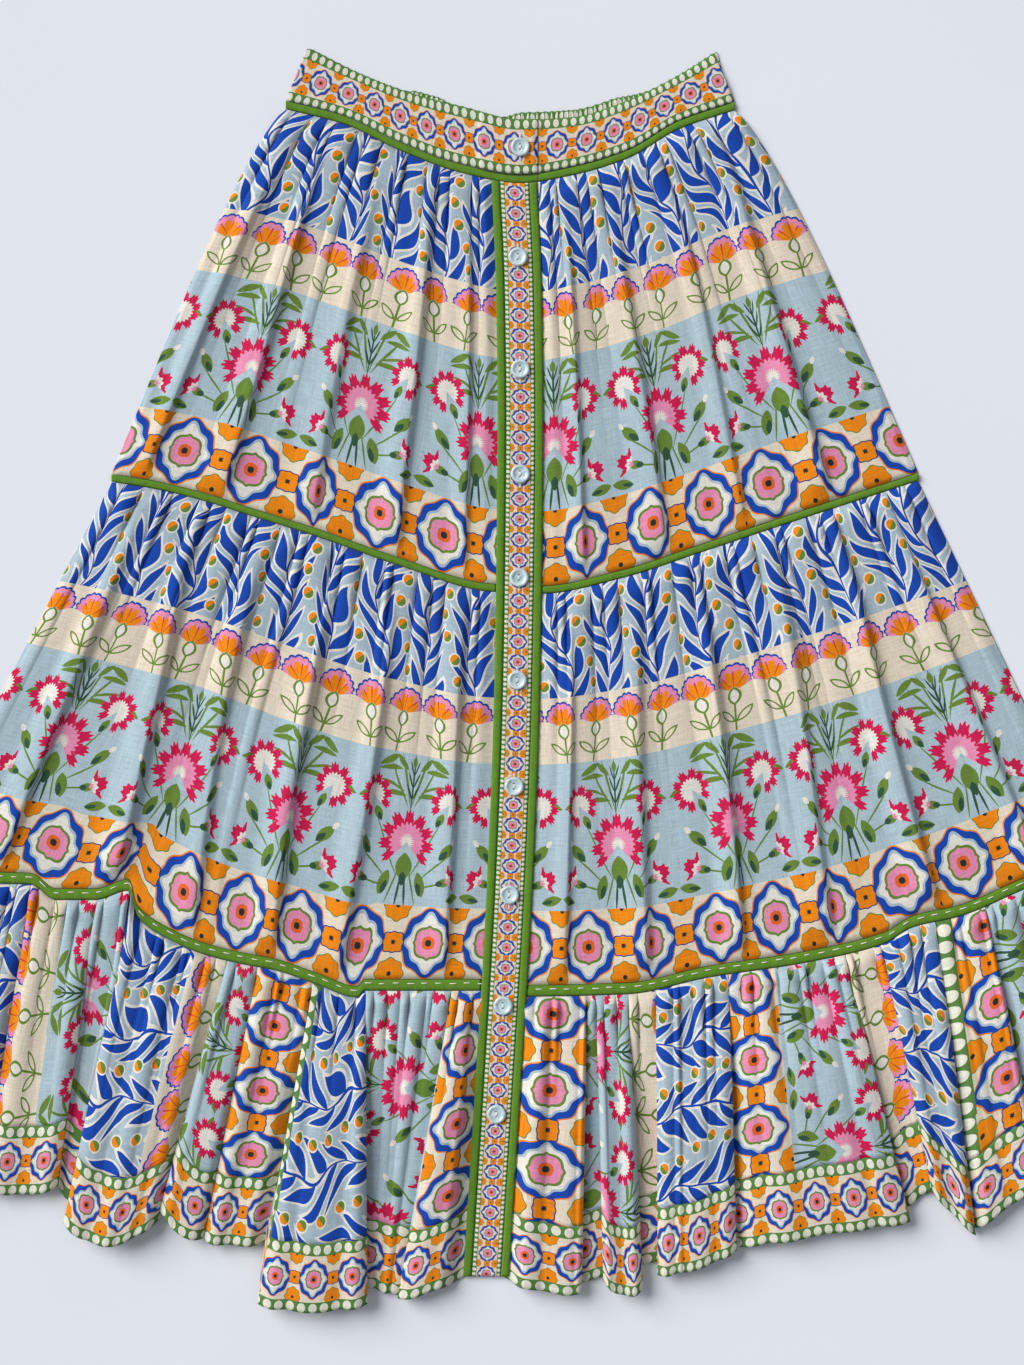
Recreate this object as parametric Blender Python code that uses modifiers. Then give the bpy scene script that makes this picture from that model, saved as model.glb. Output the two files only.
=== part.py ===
"""A three-tier maxi skirt with a button placket, laid flat with its front up.

+X is to the right of somebody looking down at it, +Y is towards the waist and +Z is up. The back lies on
the ground, the front lies on the back, and the placket with its buttons lies on the front. The wearer's
right front is on the -X side and laps over the left front. All sizes are in millimetres.
"""

import math

import bmesh
import bpy
import numpy as np

MM = 0.001
NAME = "maxi_skirt"

# The layout's middle, measured from the point halfway along the garment between waist and hem
MIDDLE_X = 0.5
MIDDLE_Y = 4.175

# Cloth walls and the heights at which the layers lie
CLOTH = 1.2
GAP = 0.3
BACK_LEVEL = 0.0
FRONT_LEVEL = BACK_LEVEL + CLOTH + GAP
PLACKET_LEVEL = FRONT_LEVEL + CLOTH + GAP
BAND_CLOTH = 1.5
BAND_LEVEL = BACK_LEVEL + BAND_CLOTH + GAP
LAP_LEVEL = BAND_LEVEL + BAND_CLOTH + GAP

# Pipings between the tiers
PIPING_THICK = 1.8
WAIST_PIPING = 7.0
TIER_1_PIPING = 6.5
TIER_2_PIPING = 9.5

# Placket: a printed band between two bindings, over the button stand
PLACKET_WIDE = 39.0
BINDING_WIDE = 7.0
BINDING_THICK = 1.6
TUCK = 4.0
STAND_CLEARANCE = 1.0
FLAT_EDGE = 5.5
SEAM_FLAT = 3.0

# Waistband lap of the right front over the left front
LAP_END = 22.0
LAP_RAMP = 4.0
UNDERLAP_START = -24.0
LAP_LIFT_AT = -30.0
UPRIGHT_HALF = 60.0

# Hem border sewn along the bottom tier
HEM_BORDER = 58.0
HEM_SEAM_GAP = 0.7
BACK_INSET = 2.0
BACK_BORDER_INSET = 35.0

# Buttons
BUTTON_WIDE = 16.0
BUTTON_THICK = 2.6
BUTTON_DISH = 0.9
BUTTON_HOLE = 1.8
BUTTON_HOLE_APART = 4.0
BUTTON_SIDES = 14
HOLE_SIDES = 6

# Seams as they lie, from the left side of the layout to the right: (x, y)
WAIST_TOP = [
    (-171, 538), (-129, 517), (-87, 501), (-42, 489), (7, 478), (51, 480), (95, 493), (135, 512), (174, 536)]
WAIST_SEAM = [
    (-192, 494), (-142, 481), (-93, 458), (-43, 440), (7, 431), (52, 438), (98, 452), (142, 477), (189, 493)]
TIER_1_SEAM = [
    (-340, 177), (-303, 171), (-262, 161), (-218, 147), (-170, 132), (-90, 104), (-20, 84), (25, 82),
    (92, 95), (163, 118), (235, 142), (290, 160), (345, 178)]
TIER_2_SEAM = [
    (-503, -140), (-420, -163), (-330, -185), (-240, -224), (-140, -250), (-22, -254), (98, -254),
    (245, -229), (330, -206), (410, -178), (495, -142)]
BACK_HEM = [
    (-618, -368), (-473, -410), (-378, -418), (-308, -430), (-172, -466), (-10, -484), (143, -476),
    (310, -444), (355, -420), (470, -408), (619, -364)]

# Centre line of the placket: (y, x)
PLACKET_LINE = [(-504, -22), (-345, -12), (-185, -2.5), (-20, 4), (121, 6.4), (223, 7.2), (330, 6), (425, 2)]

# Where the buttons sit along the front: y
BAND_BUTTON_Y = 454.0
PLACKET_BUTTONS_Y = [361, 266, 177, 89, 2, -88, -180, -274, -366]

# Gathers of the two upper tiers on each half of the front
TIER_GATHERS = {"tier_1": 15, "tier_2": 19}
GATHER_HEIGHT = {"tier_1": 2.8, "tier_2": 4.2}
GATHER_FADE = {"tier_1": 85.0, "tier_2": 95.0}
GATHER_RISE = 12.0

# Long soft folds of the upper tiers: (across at the top, across at the bottom, half width, height)
# with the places across given from 0 at the placket to 1 at the side
LONG_FOLDS = {
    ("tier_1", "right"): [
        (0.12, 0.10, 14, 3.5), (0.30, 0.27, 20, 5.0), (0.52, 0.50, 24, 4.0), (0.74, 0.72, 18, 5.5),
        (0.90, 0.92, 14, 4.0)],
    ("tier_1", "left"): [
        (0.15, 0.12, 16, 4.0), (0.36, 0.33, 22, 4.5), (0.60, 0.55, 18, 3.5), (0.84, 0.76, 20, 6.0)],
    ("tier_2", "right"): [
        (0.10, 0.08, 18, 4.5), (0.26, 0.26, 20, 5.5), (0.43, 0.38, 22, 6.0), (0.60, 0.53, 18, 4.5),
        (0.76, 0.66, 22, 7.0), (0.90, 0.86, 20, 5.0)],
    ("tier_2", "left"): [
        (0.09, 0.07, 16, 4.5), (0.25, 0.21, 22, 5.0), (0.42, 0.38, 18, 6.0), (0.60, 0.54, 24, 5.0),
        (0.77, 0.72, 20, 6.5), (0.91, 0.90, 18, 4.5)],
}

# Deep folds of the bottom tier, from the placket outwards. Each row is one stretch of cloth that ends at
# a fold line: (seam x and hem x of that line, gathers in it, height, hem y at its start, middle and end)
BOTTOM_FOLDS = {
    "right": [
        (-51, -97, 2, 8.0, -502, -514, -521), (-124, -122, 3, 1.5, -518, -516, -510),
        (-169, -215, 3, 10.0, -525, -530, -525), (-216, -261, 2, 5.0, -475, -476, -472),
        (-241, -308, 2, 7.0, -470, -464, -441), (-324, -379, 4, 10.0, -446, -474, -457),
        (-352, -384, 1, 1.0, -440, -432, -426), (-408, -448, 2, 6.0, -426, -433, -428),
        (-440, -499, 1, 8.0, -428, -428, -418), (-472, -563, 1, 5.0, -414, -408, -400),
        (-503, -618, 1, 6.0, -400, -394, -376)],
    "left": [
        (64, 59, 2, 8.0, -505, -514, -516), (71, 77, 1, 1.0, -510, -505, -503),
        (99, 111, 2, 9.0, -505, -517, -512), (122, 123, 1, 1.0, -494, -491, -491),
        (184, 190, 3, 9.0, -501, -494, -480), (283, 337, 4, 8.0, -479, -466, -456),
        (313, 355, 2, 1.5, -445, -436, -428), (360, 392, 2, 9.0, -430, -450, -467),
        (402, 449, 2, 8.0, -465, -442, -425), (449, 525, 2, 5.0, -422, -414, -402),
        (495, 619, 1, 6.0, -400, -392, -372)],
}
BOTTOM_GATHER = 5.0
BOTTOM_INNER_DIP = 0.3

SIDE_SIGN = {"right": -1.0, "left": 1.0}

COLOURS = {
    "print": (0.40, 0.56, 0.68),
    "border": (0.74, 0.62, 0.42),
    "green": (0.10, 0.32, 0.03),
    "pearl": (0.66, 0.78, 0.82),
}


def remove_objects():
    """Clear the scene of what it starts with."""
    for thing in list(bpy.data.objects):
        bpy.data.objects.remove(thing, do_unlink=True)


def material(name, colour, roughness):
    """Principled material of one colour."""
    result = bpy.data.materials.new(name)
    result.use_nodes = True
    shader = result.node_tree.nodes["Principled BSDF"]
    shader.inputs["Base Color"].default_value = (*COLOURS[colour], 1.0)
    shader.inputs["Roughness"].default_value = roughness
    shader.inputs["Metallic"].default_value = 0.0
    return result


def through(rows, at):
    """Smooth curve through the rows (place, value), with slopes that never overshoot a row."""
    place, value = np.array(sorted(rows), dtype=float).T
    rise = np.diff(value) / np.diff(place)
    slope = np.concatenate([rise[:1], np.zeros(len(rise) - 1), rise[-1:]])
    product = rise[:-1] * rise[1:]
    total = np.where(product > 0, rise[:-1] + rise[1:], 1.0)
    slope[1:-1] = np.where(product > 0, 2 * product / total, 0.0)
    at = np.clip(at, place[0], place[-1])
    span = np.clip(np.searchsorted(place, at) - 1, 0, len(rise) - 1)
    wide = place[span + 1] - place[span]
    t = (at - place[span]) / wide
    return (value[span] * (1 + 2 * t) * (1 - t) ** 2 + value[span + 1] * t * t * (3 - 2 * t)
            + slope[span] * wide * t * (1 - t) ** 2 + slope[span + 1] * wide * t * t * (t - 1))


def smooth(t):
    """Soft step from 0 to 1."""
    t = np.clip(t, 0.0, 1.0)
    return t * t * (3 - 2 * t)


def placket_x(y):
    """Centre line of the placket at height y."""
    return through(PLACKET_LINE, y)


def sheet(name, x, y, z, thick, colour, roughness=0.85):
    """Cloth wall over a grid of points, given from the bottom row up and from left to right."""
    rows, columns = x.shape
    mesh = bpy.data.meshes.new(name)
    grid = bmesh.new()
    bmesh.ops.create_grid(grid, x_segments=columns - 1, y_segments=rows - 1, size=0.5)
    grid.to_mesh(mesh)
    grid.free()
    points = np.stack([x - MIDDLE_X, y - MIDDLE_Y, z], axis=-1) * MM
    mesh.vertices.foreach_set("co", points.reshape(-1))
    mesh.shade_smooth()
    piece = bpy.data.objects.new(name, mesh)
    bpy.data.collections[NAME].objects.link(piece)
    mesh.materials.append(material(name, colour, roughness))
    wall = piece.modifiers.new("wall", "SOLIDIFY")
    wall.thickness = thick * MM
    wall.offset = 1.0
    return piece


def half_sheet(name, side, x, y, z, thick, colour):
    """Cloth wall of one half, whose grid runs down from the top and outwards from the placket."""
    order = slice(None, None, -1) if side == "right" else slice(None)
    sheet(name, x[::-1, order], y[::-1, order], z[::-1, order], thick, colour)


def inner_x(side, y):
    """Edge of a front panel, tucked under the placket's binding."""
    return placket_x(y) + SIDE_SIGN[side] * (PLACKET_WIDE / 2 - TUCK)


def seam_line(seam, side, across, shift):
    """Points of a seam from the placket outwards, moved along Y by shift."""
    middle_y = through(seam, np.array(0.0)) + shift
    start = inner_x(side, middle_y)
    end = seam[0][0] if side == "right" else seam[-1][0]
    x = start + (end - start) * across
    return x, through(seam, x) + shift


def follow_placket(side, x, y, across):
    """Bend the inner part of a panel so that its edge keeps to the placket's line."""
    straight = x[:, :1]
    bent = inner_x(side, y[:, :1])
    return x + (bent - straight) * (1 - across) ** 2


def gather_stations(count, flat):
    """Places across a tier: three to a gather, in uneven widths, with a flat strip at both edges."""
    number = np.arange(count + 1)
    valley = (number + 0.22 * np.sin(2.4 * number)) / count
    valley[0], valley[-1] = 0.0, 1.0
    step = np.diff(valley)
    inside = (valley[:-1, None] + step[:, None] * np.array([0, 1 / 3, 2 / 3])).reshape(-1)
    shoulder = np.tile([0.0, 1.0, 1.0], count)
    weight = np.repeat(0.55 + 0.45 * np.sin(1.7 * number[:-1] + 0.6) ** 2, 3)
    place = np.concatenate([[0.0], flat + (1 - 2 * flat) * np.append(inside, 1.0), [1.0]])
    lift = np.concatenate([[0.0], shoulder * weight, [0.0, 0.0]])
    return place, lift


def rows_down(length):
    """Distances down an upper tier at which it has a row of points, from its top edge."""
    return np.array([0.0, SEAM_FLAT, GATHER_RISE, 45.0, 120.0, 230.0, length - SEAM_FLAT, length])


def long_fold_height(tier, side, across, down, width):
    """Soft ridges that run down a tier, each the square of a cosine across its width."""
    height = np.zeros(np.broadcast(across, down).shape)
    for top, bottom, half_wide, high in LONG_FOLDS[tier, side]:
        middle = top + (bottom - top) * down
        away = np.clip(np.abs(across - middle) * width / half_wide, 0, 1)
        height += high * np.cos(away * math.pi / 2) ** 2
    return height * smooth(down * 4) * smooth((1 - down) * 12)


def upper_tier(tier, side, top_seam, bottom_seam, top_piping, bulge):
    """One half of an upper tier's front, gathered at its top edge and flat at its seams."""
    end = 0 if side == "right" else -1
    width = abs(bottom_seam[end][0])
    edge = FLAT_EDGE / (abs(top_seam[end][0]) - PLACKET_WIDE / 2)
    across, lift = gather_stations(TIER_GATHERS[tier], edge)
    top_x, top_y = seam_line(top_seam, side, across, -top_piping - GAP)
    low_x, low_y = seam_line(bottom_seam, side, across, GAP)
    length = float(np.mean(top_y - low_y))
    distance = rows_down(length)
    down = (distance / length)[:, None]
    y = top_y + (low_y - top_y) * down
    x = follow_placket(side, top_x + (low_x - top_x) * down, y, across)
    x = x + SIDE_SIGN[side] * bulge * across ** 3 * np.sin(math.pi * down ** 0.55)
    fade = np.exp(-np.maximum(distance - GATHER_RISE, 0) / GATHER_FADE[tier])
    fade *= smooth((distance - SEAM_FLAT) / (GATHER_RISE - SEAM_FLAT))
    fade *= distance < length - SEAM_FLAT - 0.1
    inside = smooth((across - edge) * 12) * smooth((1 - edge - across) * 12)
    folds = long_fold_height(tier, side, across, down, width) * inside
    folds[-2:] = 0
    z = FRONT_LEVEL + GATHER_HEIGHT[tier] * lift * fade[:, None] + folds
    half_sheet(f"{tier}_front_{side}", side, x, y, z, CLOTH, "print")


def bottom_columns(side):
    """Columns of the bottom tier: seam x, hem x, hem y, height at the hem and at a gather's top."""
    seam_start = inner_x(side, through(TIER_2_SEAM, 0.0))
    hem_start = inner_x(side, PLACKET_LINE[0][0])
    sign = SIDE_SIGN[side]
    columns = [(seam_start, hem_start, BOTTOM_FOLDS[side][0][4], 0.0, 0.0)]
    seam_start = seam_start + sign * FLAT_EDGE
    hem_start = hem_start + sign * FLAT_EDGE
    for seam_x, hem_x, gathers, high, start_y, middle_y, end_y in BOTTOM_FOLDS[side]:
        for number in range(3 * gathers):
            part = number / (3 * gathers)
            valley = number % 3 == 0
            hem_y = start_y * (1 - part) * (1 - 2 * part) + middle_y * 4 * part * (1 - part)
            hem_y = hem_y + end_y * part * (2 * part - 1)
            lift = 0.0 if number == 0 else high * (1 - BOTTOM_INNER_DIP * valley)
            columns.append((
                seam_start + (seam_x - seam_start) * part, hem_start + (hem_x - hem_start) * part,
                hem_y, lift, 0.0 if valley else 1.0))
        seam_start, hem_start = seam_x, hem_x
    columns.append((seam_start - sign * FLAT_EDGE, hem_start - sign * FLAT_EDGE, end_y, 0.0, 0.0))
    columns.append((seam_start, hem_start, end_y, 0.0, 0.0))
    return np.array(columns, dtype=float).T


def bottom_tier(side):
    """One half of the bottom tier's front and the hem border that carries its folds on."""
    seam_x, hem_x, hem_y, hem_lift, crest = bottom_columns(side)
    top_y = through(TIER_2_SEAM, seam_x) - TIER_2_PIPING - GAP
    lean = (seam_x - hem_x) / (top_y - hem_y)
    border_x = hem_x + lean * HEM_BORDER
    border_y = hem_y + HEM_BORDER
    turn = np.hypot(np.gradient(border_x), np.gradient(border_y))
    low_x = border_x - np.gradient(border_y) / turn * SIDE_SIGN[side] * HEM_SEAM_GAP
    low_y = border_y + np.abs(np.gradient(border_x)) / turn * HEM_SEAM_GAP
    length = float(np.mean(top_y - low_y))
    distance = np.array([0.0, SEAM_FLAT, GATHER_RISE, 80.0])
    down = (distance / length)[:, None]
    x = seam_x + (low_x - seam_x) * down
    y = top_y + (low_y - top_y) * down
    gather = BOTTOM_GATHER * crest * (smooth((distance - SEAM_FLAT) / 9) * (1 - down[:, 0]) ** 0.8)[:, None]
    z = FRONT_LEVEL + gather + hem_lift * smooth(down * 1.4)
    x = np.vstack([x, low_x + 2 * SEAM_FLAT * lean, low_x])
    y = np.vstack([y, low_y + 2 * SEAM_FLAT, low_y])
    z = np.vstack([z, FRONT_LEVEL + hem_lift, FRONT_LEVEL + hem_lift])
    half_sheet(f"tier_3_front_{side}", side, x, y, z, CLOTH, "print")
    level = np.full((2, 1), FRONT_LEVEL)
    half_sheet(
        f"hem_band_front_{side}", side, np.vstack([border_x, hem_x]), np.vstack([border_y, hem_y]),
        level + hem_lift, CLOTH, "border")


def inset_line(seam, shift, inset, columns):
    """A seam line from side to side, shortened at both ends and moved along Y by shift."""
    x = np.linspace(seam[0][0] + inset, seam[-1][0] - inset, columns + 1)
    return x, through(seam, x) + shift


def back_panel(name, top, bottom, colour, columns=24):
    """Back piece between two lines, each given as (seam, shift, inset), flat on the ground."""
    top_x, top_y = inset_line(*top, columns)
    low_x, low_y = inset_line(*bottom, columns)
    x = np.vstack([low_x, top_x])
    sheet(name, x, np.vstack([low_y, top_y]), np.full_like(x, BACK_LEVEL), CLOTH, colour)


def back_tiers():
    """Back of each tier and its pipings."""
    seams = [("waist", WAIST_SEAM, WAIST_PIPING), ("tier_1", TIER_1_SEAM, TIER_1_PIPING),
             ("tier_2", TIER_2_SEAM, TIER_2_PIPING)]
    for name, seam, wide in seams:
        back_panel(f"{name}_piping_back", (seam, 0, BACK_INSET), (seam, -wide, BACK_INSET), "green")
    for number in (1, 2):
        above, wide = seams[number - 1][1:]
        below = seams[number][1]
        back_panel(f"tier_{number}_back", (above, -wide - GAP, BACK_INSET), (below, GAP, BACK_INSET), "print")
    top = (TIER_2_SEAM, -TIER_2_PIPING - GAP, BACK_INSET)
    back_panel("tier_3_back", top, (BACK_HEM, HEM_BORDER + GAP, BACK_BORDER_INSET), "print")
    back_panel("hem_band_back", (BACK_HEM, HEM_BORDER, BACK_BORDER_INSET), (BACK_HEM, 0, BACK_INSET), "border")


def piping(name, seam, wide, start, end, level, columns=24):
    """Flat piping that hangs from a seam line between two places in X."""
    x = np.linspace(start, end, columns + 1)
    top = through(seam, x)
    x = np.vstack([x, x])
    sheet(name, x, np.vstack([top - wide, top]), np.full_like(x, level), PIPING_THICK, "green")


def front_pipings(name, seam, wide, level):
    """Both halves of a front piping, each ending beside the placket."""
    middle_y = float(through(seam, 0.0)) - wide / 2
    edge = PLACKET_WIDE / 2 + GAP
    left_end = float(placket_x(middle_y)) - edge
    right_end = float(placket_x(middle_y)) + edge
    piping(f"{name}_front_right", seam, wide, seam[0][0], left_end, level)
    piping(f"{name}_front_left", seam, wide, right_end, seam[-1][0], level)


def waistband_front(name, start, end, lapped):
    """Front waistband from its top edge to the piping; the lapped end steps up over the other."""
    step_at = [LAP_LIFT_AT, LAP_LIFT_AT + LAP_RAMP] if lapped else []
    x = np.unique(np.concatenate([np.linspace(start, end, 21), step_at]))
    top_half = (WAIST_TOP[-1][0] - WAIST_TOP[0][0]) / 2
    seam_half = (WAIST_SEAM[-1][0] - WAIST_SEAM[0][0]) / 2
    lean = (top_half - UPRIGHT_HALF) / (seam_half - UPRIGHT_HALF)
    top_x = np.sign(x) * (np.minimum(np.abs(x), UPRIGHT_HALF) + np.maximum(np.abs(x) - UPRIGHT_HALF, 0) * lean)
    z = np.full_like(x, BAND_LEVEL)
    z += smooth((x - LAP_LIFT_AT) / LAP_RAMP) * (LAP_LEVEL - BAND_LEVEL) * lapped
    y = np.vstack([through(WAIST_SEAM, x) + 2 * GAP, through(WAIST_TOP, top_x)])
    sheet(name, np.vstack([x, top_x]), y, np.vstack([z, z]), BAND_CLOTH, "border")


def waistband_back():
    """Elastic back waistband, whose scalloped top edge stands above the front's."""
    scallops = 28
    across = np.linspace(0, 1, 2 * scallops + 1)
    wave = 0.8 * np.cos(across * scallops * 2 * math.pi)
    top_x = WAIST_TOP[0][0] + 1 + (WAIST_TOP[-1][0] - WAIST_TOP[0][0] - 2) * across
    low_x = WAIST_SEAM[0][0] + 1 + (WAIST_SEAM[-1][0] - WAIST_SEAM[0][0] - 2) * across
    stands = 5.5 * smooth((top_x + 12) / 22) * smooth((122 - top_x) / 40)
    stands += 2.5 * smooth((top_x + 92) / 12) * smooth((-52 - top_x) / 12)
    top_y = through(WAIST_TOP, top_x) + stands + wave
    low_y = through(WAIST_SEAM, low_x) + 2 * GAP
    x = np.vstack([low_x, top_x])
    sheet("waistband_back", x, np.vstack([low_y, top_y]), np.full_like(x, BACK_LEVEL), BAND_CLOTH, "border")


def placket_strip(name, left, right, level, thick, colour):
    """Strip that keeps its place beside the placket's centre line, from waist to hem."""
    top = float(through(WAIST_SEAM, 2.0)) - WAIST_PIPING - 3 * GAP
    y = np.linspace(PLACKET_LINE[0][0], top, 17)
    middle = placket_x(y)
    x = np.stack([middle + left, middle + right], axis=1)
    sheet(name, x, np.stack([y, y], axis=1), np.full_like(x, level), thick, colour)


def placket():
    """Printed band, its two bindings, and the button stand under them."""
    edge = PLACKET_WIDE / 2
    band = edge - BINDING_WIDE - GAP
    stand = edge - TUCK - STAND_CLEARANCE
    placket_strip("button_stand", -stand, stand, FRONT_LEVEL, CLOTH, "print")
    placket_strip("placket_band", -band, band, PLACKET_LEVEL, CLOTH, "border")
    placket_strip("placket_binding_right", -edge, -edge + BINDING_WIDE, PLACKET_LEVEL, BINDING_THICK, "green")
    placket_strip("placket_binding_left", edge - BINDING_WIDE, edge, PLACKET_LEVEL, BINDING_THICK, "green")


def button_mesh():
    """Turned disc with a raised rim, a dished face and two thread holes."""
    radius = BUTTON_WIDE / 2
    profile = [
        (0.0, BUTTON_THICK - BUTTON_DISH), (radius * 0.62, BUTTON_THICK - BUTTON_DISH),
        (radius * 0.82, BUTTON_THICK), (radius, BUTTON_THICK * 0.55), (radius * 0.8, 0.0), (0.0, 0.0)]
    turned = bmesh.new()
    points = [turned.verts.new((x * MM, 0, z * MM)) for x, z in profile]
    edges = [turned.edges.new(pair) for pair in zip(points, points[1:])]
    bmesh.ops.spin(
        turned, geom=points + edges, cent=(0, 0, 0), axis=(0, 0, 1), angle=2 * math.pi,
        steps=BUTTON_SIDES, use_merge=True)
    bmesh.ops.remove_doubles(turned, verts=turned.verts, dist=0.00001)
    bmesh.ops.recalc_face_normals(turned, faces=turned.faces)
    mesh = bpy.data.meshes.new("button")
    turned.to_mesh(mesh)
    turned.free()
    mesh.materials.append(material("button_pearl", "pearl", 0.25))
    return mesh


def hole_cutter(place):
    """Cutter for one thread hole, off the button's middle by place along X."""
    bpy.ops.mesh.primitive_cylinder_add(
        vertices=HOLE_SIDES, radius=BUTTON_HOLE / 2 * MM, depth=3 * BUTTON_THICK * MM,
        location=(place * MM, 0, 0))
    cutter = bpy.context.object
    cutter.name = f"thread_hole_cutter_{'right' if place > 0 else 'left'}"
    cutter.hide_render = True
    cutter.display_type = "WIRE"
    for collection in list(cutter.users_collection):
        collection.objects.unlink(cutter)
    bpy.data.collections[NAME + "_cutters"].objects.link(cutter)
    return cutter


def drilled(mesh):
    """The button's mesh with its thread holes cut."""
    blank = bpy.data.objects.new("button_blank", mesh)
    bpy.data.collections[NAME].objects.link(blank)
    for place in (-BUTTON_HOLE_APART / 2, BUTTON_HOLE_APART / 2):
        cut = blank.modifiers.new("thread_hole", "BOOLEAN")
        cut.operation = "DIFFERENCE"
        cut.object = hole_cutter(place)
    bpy.context.view_layer.update()
    shown = blank.evaluated_get(bpy.context.evaluated_depsgraph_get())
    result = bpy.data.meshes.new_from_object(shown)
    result.name = "button_with_holes"
    bpy.data.objects.remove(blank)
    return result


def buttons():
    """One button on the waistband's lap and nine down the placket, turned upright."""
    mesh = drilled(button_mesh())
    places = [(BAND_BUTTON_Y, LAP_LEVEL + BAND_CLOTH + GAP)]
    places += [(y, PLACKET_LEVEL + CLOTH + GAP) for y in PLACKET_BUTTONS_Y]
    for number, (y, level) in enumerate(places):
        piece = bpy.data.objects.new(f"button_{number}", mesh)
        bpy.data.collections[NAME].objects.link(piece)
        x = 7.0 if number == 0 else float(placket_x(y))
        piece.location = ((x - MIDDLE_X) * MM, (y - MIDDLE_Y) * MM, level * MM)
        piece.rotation_euler = (0, 0, math.pi / 2)


def build():
    """All the pieces, from the back up to the buttons."""
    remove_objects()
    for name in (NAME, NAME + "_cutters"):
        if name not in bpy.data.collections:
            bpy.context.scene.collection.children.link(bpy.data.collections.new(name))
    waistband_back()
    back_tiers()
    for side in ("right", "left"):
        upper_tier("tier_1", side, WAIST_SEAM, TIER_1_SEAM, WAIST_PIPING, 12.0)
        upper_tier("tier_2", side, TIER_1_SEAM, TIER_2_SEAM, TIER_1_PIPING, 0.0)
        bottom_tier(side)
    front_pipings("tier_1_piping", TIER_1_SEAM, TIER_1_PIPING, FRONT_LEVEL)
    front_pipings("tier_2_piping", TIER_2_SEAM, TIER_2_PIPING, FRONT_LEVEL)
    piping("waist_piping_front_right", WAIST_SEAM, WAIST_PIPING, WAIST_SEAM[0][0], LAP_END, BAND_LEVEL)
    piping(
        "waist_piping_front_left", WAIST_SEAM, WAIST_PIPING, LAP_END + GAP, WAIST_SEAM[-1][0], BAND_LEVEL)
    waistband_front("waistband_front_right", WAIST_SEAM[0][0], LAP_END, True)
    waistband_front("waistband_front_left", UNDERLAP_START, WAIST_SEAM[-1][0], False)
    placket()
    buttons()


build()
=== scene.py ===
"""Looks for the maxi skirt: thin printed cloth, pipings, placket, buttons and stitches over the CAD solids.

Lengths are in millimetres in the layout's own coordinates, as in the CAD source: +X to the right, +Y to
the waist, +Z up. A cloth point also has a place in the cloth, in millimetres: along its print band, and
across it from the band's top edge. The UV map holds that place in metres.
"""

import math
from functools import partial

import bmesh
import bpy
import numpy as np
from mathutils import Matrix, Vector


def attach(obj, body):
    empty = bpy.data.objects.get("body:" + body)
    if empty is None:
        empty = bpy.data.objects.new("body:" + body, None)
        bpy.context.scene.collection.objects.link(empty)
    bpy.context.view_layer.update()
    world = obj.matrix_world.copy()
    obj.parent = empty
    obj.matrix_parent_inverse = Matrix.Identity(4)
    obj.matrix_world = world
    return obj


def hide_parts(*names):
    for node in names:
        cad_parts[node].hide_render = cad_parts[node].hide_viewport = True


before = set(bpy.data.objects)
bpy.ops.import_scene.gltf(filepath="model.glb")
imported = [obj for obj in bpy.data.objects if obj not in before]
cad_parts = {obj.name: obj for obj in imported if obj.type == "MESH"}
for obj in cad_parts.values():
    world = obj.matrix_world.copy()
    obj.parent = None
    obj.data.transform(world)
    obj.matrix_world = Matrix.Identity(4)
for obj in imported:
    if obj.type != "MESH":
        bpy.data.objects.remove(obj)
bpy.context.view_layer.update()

# Metres in a millimetre, and the layout's point that is the frame's origin
MM = 0.001
MIDDLE_X = 0.5
MIDDLE_Y = 4.175

# Thickness of the visible cloth: front tiers and pipings, placket, waistband front and back, back panels
WALL = 0.5
PLACKET_WALL = 0.8
BAND_WALL = 1.0
BAND_BACK_WALL = 0.7
BACK_WALL = 0.9

# Heights of the cloth's upper faces, as the CAD layers lie
BACK_TOP = 1.1
FRONT_TOP = 2.6
PLACKET_TOP = 4.2
BINDING_TOP = 4.7
BAND_TOP = 3.3
LAP_TOP = 5.1
PIPING_TOP = 3.4

# Widths of tapes and strips, the front's tuck under the binding, its flat edge there, and a seam's gap
WAIST_PIPING = 7.0
TIER_1_PIPING = 6.5
TIER_2_PIPING = 9.5
PLACKET_WIDE = 39.0
BINDING_WIDE = 7.0
TUCK = 4.0
FLAT_EDGE = 5.5
SEAM_GAP = 0.3
HEM_BORDER = 58.0

# Waistband in X: end of the lap, start of the underlap, where the lap steps up and over what width, and
# how far from the middle the band starts to lean
LAP_END = 22.0
UNDERLAP_START = -24.0
LAP_LIFT_AT = -30.0
LAP_RAMP = 4.0
UPRIGHT_HALF = 60.0

# Seams as they lie, from left to right: (x, y)
WAIST_TOP = [
    (-171, 538), (-129, 517), (-87, 501), (-42, 489), (7, 478), (51, 480), (95, 493), (135, 512),
    (174, 536)]
WAIST_SEAM = [
    (-192, 494), (-142, 481), (-93, 458), (-43, 440), (7, 431), (52, 438), (98, 452), (142, 477),
    (189, 493)]
TIER_1_SEAM = [
    (-340, 177), (-303, 171), (-262, 161), (-218, 147), (-170, 132), (-90, 104), (-20, 84), (25, 82),
    (92, 95), (163, 118), (235, 142), (290, 160), (345, 178)]
TIER_2_SEAM = [
    (-503, -140), (-435, -161), (-408, -162), (-387, -175), (-354, -175), (-325, -167), (-318, -189),
    (-294, -207), (-262, -221), (-231, -229), (-200, -235), (-165, -247), (-131, -258), (-125, -252),
    (-22, -252), (11, -257), (98, -255), (166, -241), (245, -229), (314, -213), (341, -198), (380, -189),
    (435, -166), (495, -142)]
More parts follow.
